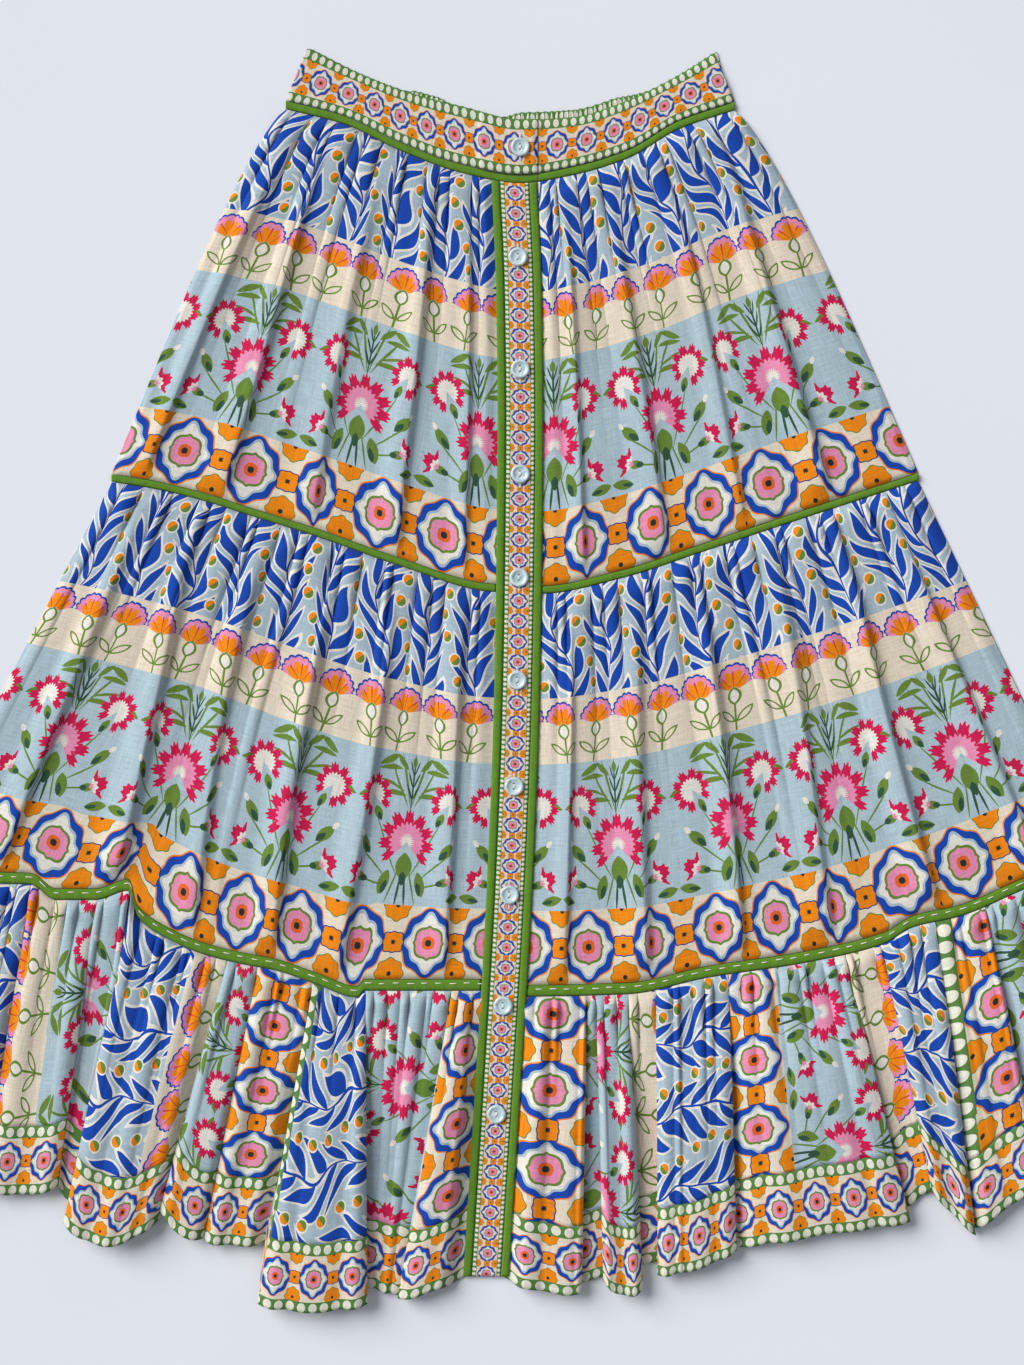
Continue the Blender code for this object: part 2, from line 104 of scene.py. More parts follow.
# The lower seam without its steps, which the print bands above it and the cloth below it follow
TIER_2_EVEN = [
    (-503, -140), (-420, -163), (-330, -185), (-240, -224), (-140, -250), (-22, -254), (98, -254),
    (245, -229), (330, -206), (410, -178), (495, -142)]
# Hem of the back, which lies flat
BACK_HEM = [
    (-618, -368), (-473, -410), (-378, -418), (-308, -430), (-172, -466), (-10, -484), (143, -476),
    (310, -444), (355, -420), (470, -408), (619, -364)]
# Middle of the placket from the hem up: (y, x), and the buttons on it
PLACKET_LINE = [
    (-504, -22), (-345, -12), (-185, -2.5), (-20, 4), (121, 6.4), (223, 7.2), (330, 6), (425, 2)]
BUTTONS_Y = [454, 361, 266, 177, 89, 2, -88, -180, -274, -366]

SIDE_SIGN = {"right": -1.0, "left": 1.0}

# Print bands of the upper tiers from the top: (band, millimetres down the cloth)
UPPER_BANDS = [("leaf", 91.0), ("fan", 57.0), ("bouquet", 126.0), ("medallion", 62.0)]

# The same cloth turned a quarter, outwards from the placket
TURNED_BANDS = [("medallion", 60.0), ("bouquet", 124.0), ("fan", 57.0), ("leaf", 91.0), ("spot", 16.0)]

# Along a band: from one bouquet to the next and from one medallion to the next; and the medallions' band
REPEAT = 122.0
MEDALLION_PITCH = 61.0
MEDALLION_HIGH = 62.0

# Strips of the border cloth from its top edge: (pattern, lower edge in millimetres, rows of faces)
WAIST_STRIPS = [("waist_spot", 8.5, 4), ("waist_medallion", 36.0, 11), ("waist_spot", 43.0, 3)]
WAIST_BACK_STRIPS = [("waist_spot", 9.0, 6), ("waist_medallion", 45.0, 6)]
HEM_STRIPS = [("hem_spot", 10.0, 3), ("hem_medallion", 49.0, 10), ("hem_spot", HEM_BORDER, 3)]

# Cloth in half a tier at its top edge, gathers in it, their height, and where the first bouquet stands
TIERS = {
    "tier_1": {"cloth": 355.0, "gathers": 15, "high": 7.2, "first": {"right": 24.0, "left": 16.0}},
    "tier_2": {"cloth": 540.0, "gathers": 23, "high": 8.2, "first": {"right": 92.0, "left": 94.0}},
}

# A long fold's steep and broad sides, as shares of its half width
STEEP_SIDE = 0.42
BROAD_SIDE = 1.35

# Long soft folds: (across at the top, across at the bottom, half width, height)
LONG_FOLDS = {
    ("tier_1", "right"): [
        (0.12, 0.10, 14, 3.5), (0.30, 0.27, 20, 5.0), (0.52, 0.50, 24, 4.0), (0.74, 0.72, 18, 5.5),
        (0.90, 0.92, 14, 4.0)],
    ("tier_1", "left"): [
        (0.15, 0.12, 16, 4.0), (0.36, 0.33, 22, 4.5), (0.60, 0.55, 18, 3.5), (0.84, 0.76, 20, 6.0)],
    ("tier_2", "right"): [
        (0.10, 0.08, 18, 4.5), (0.26, 0.26, 20, 5.5), (0.43, 0.38, 22, 6.0), (0.60, 0.53, 18, 4.5),
        (0.76, 0.66, 22, 7.0), (0.90, 0.86, 20, 5.0)],
    ("tier_2", "left"): [
        (0.09, 0.07, 16, 4.5), (0.25, 0.21, 22, 5.0), (0.42, 0.38, 18, 6.0), (0.60, 0.54, 24, 5.0),
        (0.77, 0.72, 20, 6.5), (0.91, 0.90, 18, 4.5)],
}

# Deep folds of the bottom tier from the placket outwards, one stretch of cloth a row: seam x and hem x of
# the line where it ends, gathers, height, hem y at its start, middle and end, and the cloth that shows,
# from and to along the seam and along the hem
BOTTOM_FOLDS = {
    "right": [
        (-51, -97, 2, 8.0, -502, -514, -521, 4, 62, 4, 62),
        (-124, -122, 3, 1.5, -518, -516, -510, 66, 180, 90, 120),
        (-169, -215, 3, 10.0, -525, -530, -525, 243, 344, 242, 334),
        (-216, -261, 2, 5.0, -475, -476, -472, 350, 402, 352, 406),
        (-241, -298, 1, 7.0, -470, -466, -446, 470, 530, 478, 520),
        (-324, -379, 3, 10.0, -450, -474, -457, 545, 680, 554, 645),
        (-352, -384, 1, 1.0, -440, -432, -426, 770, 820, 800, 806),
        (-408, -448, 2, 6.0, -426, -433, -428, 835, 930, 850, 920),
        (-440, -499, 1, 8.0, -428, -428, -418, 945, 1010, 945, 1000),
        (-472, -563, 1, 5.0, -414, -408, -400, 1020, 1080, 1010, 1070),
        (-503, -618, 1, 6.0, -400, -394, -376, 1106, 1180, 1106, 1180)],
    "left": [
        (64, 59, 2, 8.0, -505, -514, -516, 2, 58, 4, 58),
        (71, 77, 1, 1.0, -510, -505, -503, 75, 95, 80, 104),
        (99, 111, 2, 9.0, -505, -517, -512, 110, 175, 112, 165),
        (122, 123, 1, 1.0, -494, -491, -491, 186, 230, 188, 200),
        (184, 190, 3, 9.0, -501, -494, -480, 243, 330, 243, 330),
        (283, 337, 4, 8.0, -479, -466, -456, 350, 500, 350, 505),
        (313, 355, 2, 1.5, -445, -436, -428, 534, 575, 560, 585),
        (360, 392, 2, 9.0, -430, -450, -467, 591, 672, 600, 650),
        (402, 449, 2, 8.0, -465, -442, -425, 682, 730, 683, 740),
        (449, 525, 2, 5.0, -422, -414, -402, 758, 820, 758, 830),
        (495, 619, 1, 6.0, -400, -392, -372, 884, 934, 884, 975)],
}
FOLD_TUCK = 4.5

# Camera straight above, in metres: its height, and the height of its frame on the table
CAMERA_HEIGHT = 2.2
FRAME_HIGH = 1.16025

# Way the window light falls
WINDOW_AIM = (0.72, -0.46, -0.60)


def through(rows, at):
    """Smooth curve through the rows (place, value), with slopes that never overshoot a row."""
    place, value = np.array(sorted(rows), dtype=float).T
    rise = np.diff(value) / np.diff(place)
    slope = np.concatenate([rise[:1], np.zeros(len(rise) - 1), rise[-1:]])
    product = rise[:-1] * rise[1:]
    total = np.where(product > 0, rise[:-1] + rise[1:], 1.0)
    slope[1:-1] = np.where(product > 0, 2 * product / total, 0.0)
    at = np.clip(at, place[0], place[-1])
    span = np.clip(np.searchsorted(place, at) - 1, 0, len(rise) - 1)
    wide = place[span + 1] - place[span]
    t = (at - place[span]) / wide
    return (value[span] * (1 + 2 * t) * (1 - t) ** 2 + value[span + 1] * t * t * (3 - 2 * t)
            + slope[span] * wide * t * (1 - t) ** 2 + slope[span + 1] * wide * t * t * (t - 1))


def smooth(t):
    """Soft step from 0 to 1."""
    t = np.clip(t, 0.0, 1.0)
    return t * t * (3 - 2 * t)


def placket_x(y):
    """Centre line of the placket at height y."""
    return through(PLACKET_LINE, y)


def inner_x(side, y):
    """Edge of a front panel, tucked under the placket's binding."""
    return placket_x(y) + SIDE_SIGN[side] * (PLACKET_WIDE / 2 - TUCK)


def outer_x(seam, side):
    """X of a seam's outer end."""
    return seam[0][0] if side == "right" else seam[-1][0]


def ripple(x, y, high):
    """Small uneven waves of laid cloth: the product of two bent sines, plus two slanting sines."""
    first = np.sin(x / 17 + 1.3 * np.sin(y / 61)) * np.sin(y / 43 + 0.9 * np.sin(x / 37))
    second = np.sin((x + 0.6 * y) / 29 + 2.1) + 0.6 * np.sin((y - 0.4 * x) / 23 + 0.5 * np.sin(x / 19))
    return high * (0.5 * first + 0.3 * second)


# Meshes

def linked(name, data):
    """Object that holds data, linked to the scene."""
    item = bpy.data.objects.new(name, data)
    bpy.context.scene.collection.objects.link(item)
    return item


def surface(name, x, y, z, along, across, bands, materials, wall=WALL):
    """Cloth over a grid of points that runs down the rows and along +X in the columns.

    Every four neighbouring points make one face, turned up. bands gives each face its row in materials,
    a list of (material, the across value at which that material's pattern starts, +1 or -1 for its way).
    Where along, across or bands has one row or one column, it stands for all of them.
    """
    rows, columns = x.shape
    points = np.stack([x - MIDDLE_X, y - MIDDLE_Y, z], axis=-1).reshape(-1, 3) * MM
    index = np.arange(rows * columns).reshape(rows, columns)
    corners = [index[:-1, :-1], index[1:, :-1], index[1:, 1:], index[:-1, 1:]]
    faces = np.stack(corners, axis=-1).reshape(-1, 4)
    bands = np.broadcast_to(bands, (rows - 1, columns - 1)).reshape(-1)
    along = np.broadcast_to(along, x.shape).reshape(-1)
    across = np.broadcast_to(across, x.shape).reshape(-1)
    mesh = bpy.data.meshes.new(name)
    mesh.vertices.add(len(points))
    mesh.vertices.foreach_set("co", points.reshape(-1))
    mesh.loops.add(faces.size)
    mesh.loops.foreach_set("vertex_index", faces.reshape(-1))
    mesh.polygons.add(len(faces))
    mesh.polygons.foreach_set("loop_start", np.arange(0, faces.size, 4))
    mesh.polygons.foreach_set("material_index", bands.astype(np.int32))
    mesh.update(calc_edges=True)
    start = np.array([row[1] for row in materials])[bands][:, None]
    way = np.array([row[2] for row in materials])[bands][:, None]
    place = np.stack([along[faces], (across[faces] - start) * way], axis=-1)
    layer = mesh.uv_layers.new(name="cloth")
    layer.data.foreach_set("uv", (place * MM).reshape(-1))
    for row in materials:
        mesh.materials.append(row[0])
    mesh.shade_smooth()
    piece = linked(name, mesh)
    shell = piece.modifiers.new("wall", "SOLIDIFY")
    shell.thickness = wall * MM
    shell.offset = -1.0
    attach(piece, "root")
    return piece


def half_surface(name, side, x, y, z, along, across, bands, materials):
    """Surface of one half, whose grid runs outwards from the placket."""
    if side == "right":
        x, y, z, along, across, bands = (part[:, ::-1] for part in (x, y, z, along, across, bands))
    return surface(name, x, y, z, along, across, bands, materials)


def tape(name, x, top, low, level, crown, finish, rows=8, droop=0.9, fold_line=None):
    """Narrow tape between two lines over x: flat in the middle, with its long edges turned down.

    Its height is level plus crown times (1 - |2v - 1| to the fourth power), v being the place across it.
    """
    v = np.linspace(0, 1, rows + 1)[:, None]
    y = top + (low - top) * v
    z = level - droop + (crown + droop) * (1 - np.abs(2 * v - 1) ** 4) + 0.12 * np.sin(x / 9.0)
    z = z + 0.16 * np.sin(x / 2.1 + 1.3 * np.sin(x / 8.7)) * (0.3 + 0.7 * v)
    if fold_line is not None:
        z = z - 0.5 * np.exp(-((v - fold_line) / 0.09) ** 2)
    x = np.broadcast_to(x, y.shape)
    return surface(name, x, y, z, x, (top - low) * v, 0, [(finish, 0.0, 1)])


def seam_line(seam, side, across, shift):
    """Points of a seam from the placket outwards, moved along Y by shift."""
    middle_y = through(seam, np.array(0.0)) + shift
    start = inner_x(side, middle_y)
    x = start + (outer_x(seam, side) - start) * across
    return x, through(seam, x) + shift


def band_rows(bands, step):
    """Distances down the cloth with a row at every band's edge, and the band of each strip between."""
    rows, owner, top = [0.0], [], 0.0
    for number, (_, high) in enumerate(bands):
        count = max(2, int(round(high / step)))
        rows += list(top + high * np.arange(1, count + 1) / count)
        owner += [number] * count
        top += high
    return np.array(rows), np.array(owner)


def band_materials(bands, finishes):
    """Rows of materials for surface(), from bands (band, height) in their order down the cloth."""
    tops = np.cumsum([0.0] + [high for _, high in bands])
    return [(finishes[band], top, 1) for (band, _), top in zip(bands, tops)]


def border_strips(strips, finishes):
    """Distances down a border, the strip of each row of faces, and the materials for surface()."""
    rows, owner, materials, top = [0.0], [], [], 0.0
    for number, (pattern, low, count) in enumerate(strips):
        rows += list(np.linspace(top, low, count + 1)[1:])
        owner += [number] * count
        materials.append((finishes[pattern], top, 1))
        top = low
    return np.array(rows), np.array(owner), materials


def gathers(count, across):
    """Which gather a place lies in, how far through it (0 to 1), and the uneven edges of all gathers."""
    number = np.arange(count + 1)
    valley = (number + 0.30 * np.sin(2.4 * number)) / count
    valley[0], valley[-1] = 0.0, 1.0
    owner = np.clip(np.searchsorted(valley, across) - 1, 0, count - 1)
    through_it = (across - valley[owner]) / (valley[owner + 1] - valley[owner])
    return owner, np.clip(through_it, 0, 1), valley


def long_fold_height(tier, side, across, down, width):
    """Soft ridges down a tier: the square of a cosine, broad on the left and steep on the right."""
    height = np.zeros(np.broadcast(across, down).shape)
    for top, bottom, half_wide, high in LONG_FOLDS[tier, side]:
        away = (across - top - (bottom - top) * down) * width * SIDE_SIGN[side]
        away = np.where(away > 0, away / (STEEP_SIDE * half_wide), away / (BROAD_SIDE * half_wide))
        height += high * np.cos(np.clip(np.abs(away), 0, 1) * math.pi / 2) ** 2
    return 1.25 * height * smooth(down * 3) * smooth((1 - down) * 14)


def hidden_in_folds(tier, side, across, down, width):
    """Cloth that lies in the steep sides of the long folds, where the print runs past faster."""
    hidden = np.zeros(np.broadcast(across, down).shape)
    for top, bottom, half_wide, _ in LONG_FOLDS[tier, side]:
        past = (across - top - (bottom - top) * down) * width / (STEEP_SIDE * half_wide)
        past = past + (1 if side == "right" else 0)
        hidden += STEEP_SIDE * half_wide * (smooth(past) - across)
    return hidden * smooth(down * 1.6)


def upper_plan(tier, side, top_seam, low_seam, top_piping, bulge, across, distance):
    """Plan of one half of an upper tier, ruled between its two seams.

    Across a gather the plan moves as p - t sin(2 pi p) / (2 pi), so that the walls of a tight gather stand
    upright in the valleys and the print keeps its true scale on the arches.
    """
    down = distance / distance[-1]
    gather, part, valley = gathers(TIERS[tier]["gathers"], across)
    top_wide = abs(outer_x(top_seam, side)) - PLACKET_WIDE / 2
    low_wide = abs(outer_x(low_seam, side)) - PLACKET_WIDE / 2
    shown = (top_wide + (low_wide - top_wide) * down) / TIERS[tier]["cloth"]
    tightness = np.clip(1 / shown - 1, 0, 0.94) * (0.35 + 0.65 * np.exp(-distance / 120))
    swing = 0.006 * np.sin(11 * across + 5 * down) * smooth(down * 3) * np.sin(math.pi * across)
    drawn = part - tightness * np.sin(2 * math.pi * part) / (2 * math.pi)
    spread = valley[gather] + (valley[gather + 1] - valley[gather]) * drawn + swing
    top_x, top_y = seam_line(top_seam, side, spread, -top_piping - SEAM_GAP)
    low_x, low_y = seam_line(low_seam, side, spread, SEAM_GAP)
    even_y = through(TIER_2_EVEN, low_x) + SEAM_GAP if low_seam is TIER_2_SEAM else low_y
    y = top_y + (even_y - top_y) * down + (low_y - even_y) * smooth((down - 0.6) / 0.4) ** 2
    x = top_x + (low_x - top_x) * down
    x = x + (inner_x(side, y[:, :1]) - x[:, :1]) * (1 - across) ** 2
    return x + SIDE_SIGN[side] * bulge * across ** 3 * np.sin(math.pi * down ** 0.55), y


def upper_height(tier, side, x, y, across, distance, top_half, low_half):
    """Height of an upper tier: its gathers, long folds and small ripples, which all end at its edges.

    A gather is an arch sin(pi p) to the power 0.8 that fades down the cloth.
    """
    gather, part, _ = gathers(TIERS[tier]["gathers"], across)
    uneven = 0.50 + 0.50 * np.sin(1.7 * gather + 0.6) ** 2
    reach = 40 + 120 * (0.5 + 0.5 * np.sin(2.9 * gather + 1.1)) ** 3
    fade = np.exp(-np.maximum(distance - 14, 0) / reach) * smooth((distance - 1) / 12)
    arch = np.sin(math.pi * part) ** 0.8
    edge = FLAT_EDGE / top_half
    inside = smooth((across - edge * 0.7) * 30) * smooth((1 - across) * 30)
    folds = long_fold_height(tier, side, across, distance / distance[-1], low_half)
    raised = TIERS[tier]["high"] * uneven * arch * fade + folds + ripple(x, y, 0.9) + 0.5
    z = FRONT_TOP + raised * inside
    lowest = distance[-1] - distance
    z = FRONT_TOP + (z - FRONT_TOP) * smooth(lowest / 9) * smooth((distance + 1) / 5)
    return z - 1.5 * smooth(1 - (1 - across) * 60)


def upper_tier(tier, side, top_seam, low_seam, top_piping, bulge, finishes):
    """One half of an upper tier's front, with its print counted along the cloth from the placket."""
    facts = TIERS[tier]
    top_half = abs(outer_x(top_seam, side))
    low_half = abs(outer_x(low_seam, side))
    across = np.linspace(0, 1, 361)
    distance, owner_band = band_rows(UPPER_BANDS, 5.0)
    rows = distance[:, None]
    x, y = upper_plan(tier, side, top_seam, low_seam, top_piping, bulge, across, rows)
    z = upper_height(tier, side, x, y, across, rows, top_half, low_half)
    cloth = across * facts["cloth"] + hidden_in_folds(tier, side, across, rows / distance[-1], low_half)
    along = SIDE_SIGN[side] * (cloth - facts["first"][side]) + REPEAT / 2
    piece = half_surface(f"{tier}_front_{side}_cloth", side, x, y, z, along, rows, owner_band[:, None],
                         band_materials(UPPER_BANDS, finishes))
    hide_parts(f"{tier}_front_{side}")


def bottom_columns(side):
    """Columns of the bottom tier from the placket outwards, in eleven rows of facts.

    These are x at the seam, x and y at the hem, the stretch's lift, the gather's height, its reach down the
    cloth and its push along the seam, the fold at the hem, the tuck under a neighbour, and the place in the
    cloth at the seam and at the hem.
    """
    sign = SIDE_SIGN[side]
    seam_start = float(inner_x(side, through(TIER_2_SEAM, 0.0)))
    hem_start = float(inner_x(side, PLACKET_LINE[0][0]))
    facts = []
    stretches = BOTTOM_FOLDS[side]
    for number, row in enumerate(stretches):
        seam_end, hem_end, count, high, start_y, middle_y, end_y, *cloth = row
        before = stretches[number - 1][3] if number else 0.0
        after = stretches[number + 1][3] if number + 1 < len(stretches) else 0.0
        over_before = number > 0 and before < 0.6 * high
        under_after = high < 0.6 * after
        seam_wide = seam_end - seam_start
        gathered = max(1, round(abs(seam_wide) / 10.5))
        part = np.linspace(0, 1, max(10 * gathered + 1, int(abs(hem_end - hem_start) / 1.9)))
        rise = np.ones_like(part) if over_before else smooth(part / 0.22) ** 0.6
        if number == 0:
            rise = smooth((part * abs(seam_end - seam_start) - FLAT_EDGE * 0.6) / 9)
        rise = rise * (1 - 0.18 * (2 * part - 1) ** 4)
        if number == len(stretches) - 1:
            rise = rise * (1 - part ** 6)
        wide = np.cumsum(1 + 0.55 * np.sin(2.7 * np.arange(gathered) + 1.9 * number))
        phase = np.interp(part, np.append(0, wide / wide[-1]), np.arange(gathered + 1))
        gather = np.minimum(np.floor(phase), gathered - 1)
        uneven = 0.35 + 0.65 * np.sin(2.1 * gather + 1.3 * number) ** 2
        arch = np.abs(np.sin(math.pi * phase)) ** 0.8 * uneven
        reach = 22 + 120 * np.sin(1.9 * gather + 0.7 * number) ** 6
        tight = min(max(abs((cloth[1] - cloth[0]) / seam_wide) - 1, 0), 0.9)
        push = -tight * seam_wide * np.sin(2 * math.pi * phase) / (2 * math.pi * gathered)
        fold = np.abs(np.sin(math.pi * (part + 0.07 * np.sin(2 * math.pi * part)) * count)) ** 1.3
        tuck_in = -sign * FOLD_TUCK if number and not over_before else 0.0
        tuck_out = sign * FOLD_TUCK if under_after else 0.0
        tuck = tuck_in * (1 - part) ** 6 + tuck_out * part ** 6
        hem_y = start_y * (1 - part) * (1 - 2 * part) + middle_y * 4 * part * (1 - part)
        hem_y = hem_y + end_y * part * (2 * part - 1)
        facts.append(np.stack([
            seam_start + seam_wide * part, hem_start + (hem_end - hem_start) * part, hem_y - 1.6 * fold,
            1.4 * high * rise, arch, reach, push, fold, tuck, cloth[0] + (cloth[1] - cloth[0]) * part,
            cloth[2] + (cloth[3] - cloth[2]) * part]))
        seam_start, hem_start = seam_end, hem_end
    return np.concatenate(facts, axis=1)


def turned_print(cloth, finishes):
    """Band of each face by its place in cloth that is turned a quarter, and the materials for surface()."""
    starts = np.cumsum([0.0] + [high for _, high in TURNED_BANDS])
    period = starts[-1]
    middle = (cloth[:-1, :-1] + cloth[1:, 1:]) / 2
    bands = np.searchsorted(starts, middle % period, side="right") - 1
    bands = bands + len(TURNED_BANDS) * (middle // period).astype(int)
    materials = []
    for number in range(int(np.max(cloth) // period) + 1):
        for (band, high), start in zip(TURNED_BANDS, starts):
            materials.append((finishes[band], number * period + start + high, -1))
    return bands, materials


def bottom_tier(side, finishes):
    """One half of the bottom tier's front and its hem border.

    Each stretch of cloth is a raised panel over its neighbours' edges: at a fold line the lower one is
    tucked under the higher one, so the cloth runs out, back under itself and out again. The plan is ruled
    between the seam and the hem. The height is the stretch's lift, plus gathers, each an arch sin(pi p) to
    the power 0.8 that fades down the cloth, plus the hem's folds, a sine to the power 1.3 that grows down it.
    """
    seam_x, hem_x, hem_y, lift, arch, reach, push, fold, tuck, seam_cloth, hem_cloth = bottom_columns(side)
    top_y = through(TIER_2_EVEN, seam_x + push) - TIER_2_PIPING - SEAM_GAP
    step_y = through(TIER_2_SEAM, seam_x + push) - TIER_2_PIPING - SEAM_GAP - top_y
    lean = (seam_x - hem_x) / (top_y - hem_y)
    border_x = hem_x + lean * HEM_BORDER
    border_y = hem_y + HEM_BORDER
    down = np.linspace(0, 1, 49)[:, None]
    distance = down * float(np.mean(top_y - border_y))
    x = seam_x + (border_x - seam_x) * down + tuck * smooth(down * 3) + push * np.exp(-distance / 90)
    y = top_y + (border_y - top_y) * down + step_y * (1 - smooth(down / 0.3))
    pinch = smooth(distance / 11) * np.exp(-np.maximum(distance - 10, 0) / reach)
    z = FRONT_TOP + lift * smooth(down * 1.6) + 8.4 * arch * pinch
    z = z + 2.4 * fold * smooth(down * 2) * np.minimum(lift / 7, 1)
    z = z + ripple(x, y, 0.6) * smooth(down * 4) * np.minimum(lift / 4, 1)
    cloth = seam_cloth + (hem_cloth - seam_cloth) * down
    bands, materials = turned_print(cloth, finishes)
    along = distance * SIDE_SIGN[side] + 17.0
    piece = half_surface(f"tier_3_front_{side}_cloth", side, x, y, z, along, cloth, bands, materials)
    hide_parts(f"tier_3_front_{side}")

    border_rows, strips, materials = border_strips(HEM_STRIPS, finishes)
    share = (border_rows / HEM_BORDER)[:, None]
    low_x = border_x + (hem_x - border_x) * share + tuck
    low_y = border_y + (hem_y - border_y) * share
    low_z = z[-1] + 0.5 * np.sin(math.pi * share) * np.minimum(lift / 6, 1)
    low_z = low_z - 0.35 * smooth((share - 0.9) / 0.1)
    border = half_surface(
        f"hem_band_front_{side}_cloth", side, low_x, low_y, low_z, hem_cloth[None, :] * SIDE_SIGN[side],
        border_rows[:, None], strips[:, None], materials)
    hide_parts(f"hem_band_front_{side}")


def back_panel(name, node, top, bottom, bands, finishes):
    """Back piece between two lines (seam, shift, inset), laid flat with its bands of print."""
    lines = []
    for seam, shift, inset in (top, bottom):
        x = np.linspace(seam[0][0] + inset, seam[-1][0] - inset, 121)
        lines.append((x, through(seam, x) + shift))
    distance, owner = band_rows(bands, 12.0)
    down = (distance / distance[-1])[:, None]
    x = lines[0][0] + (lines[1][0] - lines[0][0]) * down
    y = lines[0][1] + (lines[1][1] - lines[0][1]) * down
    z = np.full_like(x, BACK_TOP)
    piece = surface(name, x, y, z, x, distance[:, None], owner[:, None], band_materials(bands, finishes),
                    wall=BACK_WALL)
    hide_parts(node)


def waistband_grid(start, end, columns):
    """Plan of the waistband between two places in X, from its top edge down to its piping."""
    x = np.linspace(start, end, columns + 1)
    top_half = (WAIST_TOP[-1][0] - WAIST_TOP[0][0]) / 2
    seam_half = (WAIST_SEAM[-1][0] - WAIST_SEAM[0][0]) / 2
    lean = (top_half - UPRIGHT_HALF) / (seam_half - UPRIGHT_HALF)
    beyond = np.maximum(np.abs(x) - UPRIGHT_HALF, 0)
    top_x = np.sign(x) * (np.minimum(np.abs(x), UPRIGHT_HALF) + beyond * lean)
    return x, top_x, through(WAIST_TOP, top_x), through(WAIST_SEAM, x) + 2 * SEAM_GAP


def waistband_front(side, start, end, lapped, finishes):
    """Front waistband: a firm band, rounded over at its top edge, whose lapped end steps up.

    Its plan is ruled between its top edge and its seam. Its height is level with small ripples, plus a soft
    step at the lap, less a soft step at the top edge and at the outer end.
    """
    x, top_x, top_y, low_y = waistband_grid(start, end, 220)
    rows, owner, materials = border_strips(WAIST_STRIPS, finishes)
    share = (rows / rows[-1])[:, None]
    grid_x = top_x + (x - top_x) * share
    grid_y = top_y + (low_y - top_y) * share
    z = BAND_TOP + (LAP_TOP - BAND_TOP) * lapped * smooth((grid_x - LAP_LIFT_AT) / LAP_RAMP)
    z = z - 1.0 * (1 - smooth(share * 14)) + ripple(grid_x, grid_y, 0.25)
    if lapped:
        right_of_button = np.exp(-((grid_x - 15.5 - 4 * share) / 1.6) ** 2)
        left_of_button = np.exp(-((grid_x + 3.5 * share) / 2.0) ** 2)
        pucker = right_of_button + 0.6 * left_of_button
        z = z - 0.9 * smooth((grid_x - LAP_END + 2.5) / 2.5) + 0.9 * pucker * np.sin(math.pi * share) ** 2
    outer = np.abs(grid_x - outer_x(WAIST_SEAM, side))
    z = z - 1.4 * smooth(1 - outer / 5)
    along = np.concatenate([[0], np.cumsum(np.hypot(np.diff(x), np.diff(low_y)))]) + x[0]
    piece = surface(f"waistband_front_{side}_cloth", grid_x, grid_y, z, along, rows[:, None],
                    owner[:, None], materials, wall=BAND_WALL)
    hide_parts(f"waistband_front_{side}")


def waistband_back(finishes):
    """Elastic back waistband: its upper edge rises above the front's in small ruched scallops.

    The scallops and the ridges below them are sines of the pleat number, without their sign.
    """
    across = np.linspace(0, 1, 801)
    top_x = WAIST_TOP[0][0] + 1 + (WAIST_TOP[-1][0] - WAIST_TOP[0][0] - 2) * across
    low_x = WAIST_SEAM[0][0] + 1 + (WAIST_SEAM[-1][0] - WAIST_SEAM[0][0] - 2) * across
    pleat = across * 62 + 0.35 * np.sin(across * 40)
    stands = 6.0 * smooth((top_x + 12) / 22) * smooth((122 - top_x) / 40)
    stands += 2.8 * smooth((top_x + 92) / 12) * smooth((-52 - top_x) / 12)
    top_y = through(WAIST_TOP, top_x) + stands + 0.7 * np.abs(np.sin(math.pi * pleat))
    low_y = through(WAIST_SEAM, low_x) + 2 * SEAM_GAP
    rows, owner, materials = border_strips(WAIST_BACK_STRIPS, finishes)
    share = (rows / rows[-1])[:, None]
    x = top_x + (low_x - top_x) * share + 0.7 * np.sin(2 * math.pi * pleat + share * 5) * (1 - share)
    y = top_y + (low_y - top_y) * share
    z = 0.9 + 0.75 * np.abs(np.sin(math.pi * pleat)) ** 0.6 * (1 - 0.5 * share)
    piece = surface("waistband_back_cloth", x, y, z, across * 640, rows[:, None], owner[:, None], materials,
                    wall=BAND_BACK_WALL)
    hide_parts("waistband_back")


def placket_strip(name, node, left, right, top_z, finishes, bands, crown=0.0):
    """Strip beside the placket's centre line; bands run across it, the print along it.

    Its height is top_z, less crown times |2v - 1| to the fourth power, v being the place across it, with
    small ripples and, where it has a crown, fine puckers.
    """
    places, owner = band_rows(bands, 1.6)
    share = places / places[-1]
    offset = left + (right - left) * share
    top = through(WAIST_SEAM, 2.0 + offset) - WAIST_PIPING - SEAM_GAP
    y = top + (PLACKET_LINE[0][0] - top) * np.linspace(0, 1, 321)[:, None]
    x = placket_x(y) + offset
    z = top_z - crown + crown * (1 - np.abs(2 * share - 1) ** 4) + ripple(x, y, 0.18)
    z = z + crown * 0.35 * np.sin(y / 1.9 + 1.4 * np.sin(y / 7.3)) * (0.4 + 0.6 * share)
    piece = surface(name, x, y, z, top - y, places, owner, band_materials(bands, finishes),
                    wall=PLACKET_WALL)
    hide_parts(node)
    return piece


# Finishes

def linear(code):
    """Linear colour of an sRGB hex value."""
    value = np.array([int(code[i:i + 2], 16) for i in (1, 3, 5)]) / 255
    value = np.where(value <= 0.04045, value / 12.92, ((value + 0.055) / 1.055) ** 2.4)
    return (*value.tolist(), 1.0)


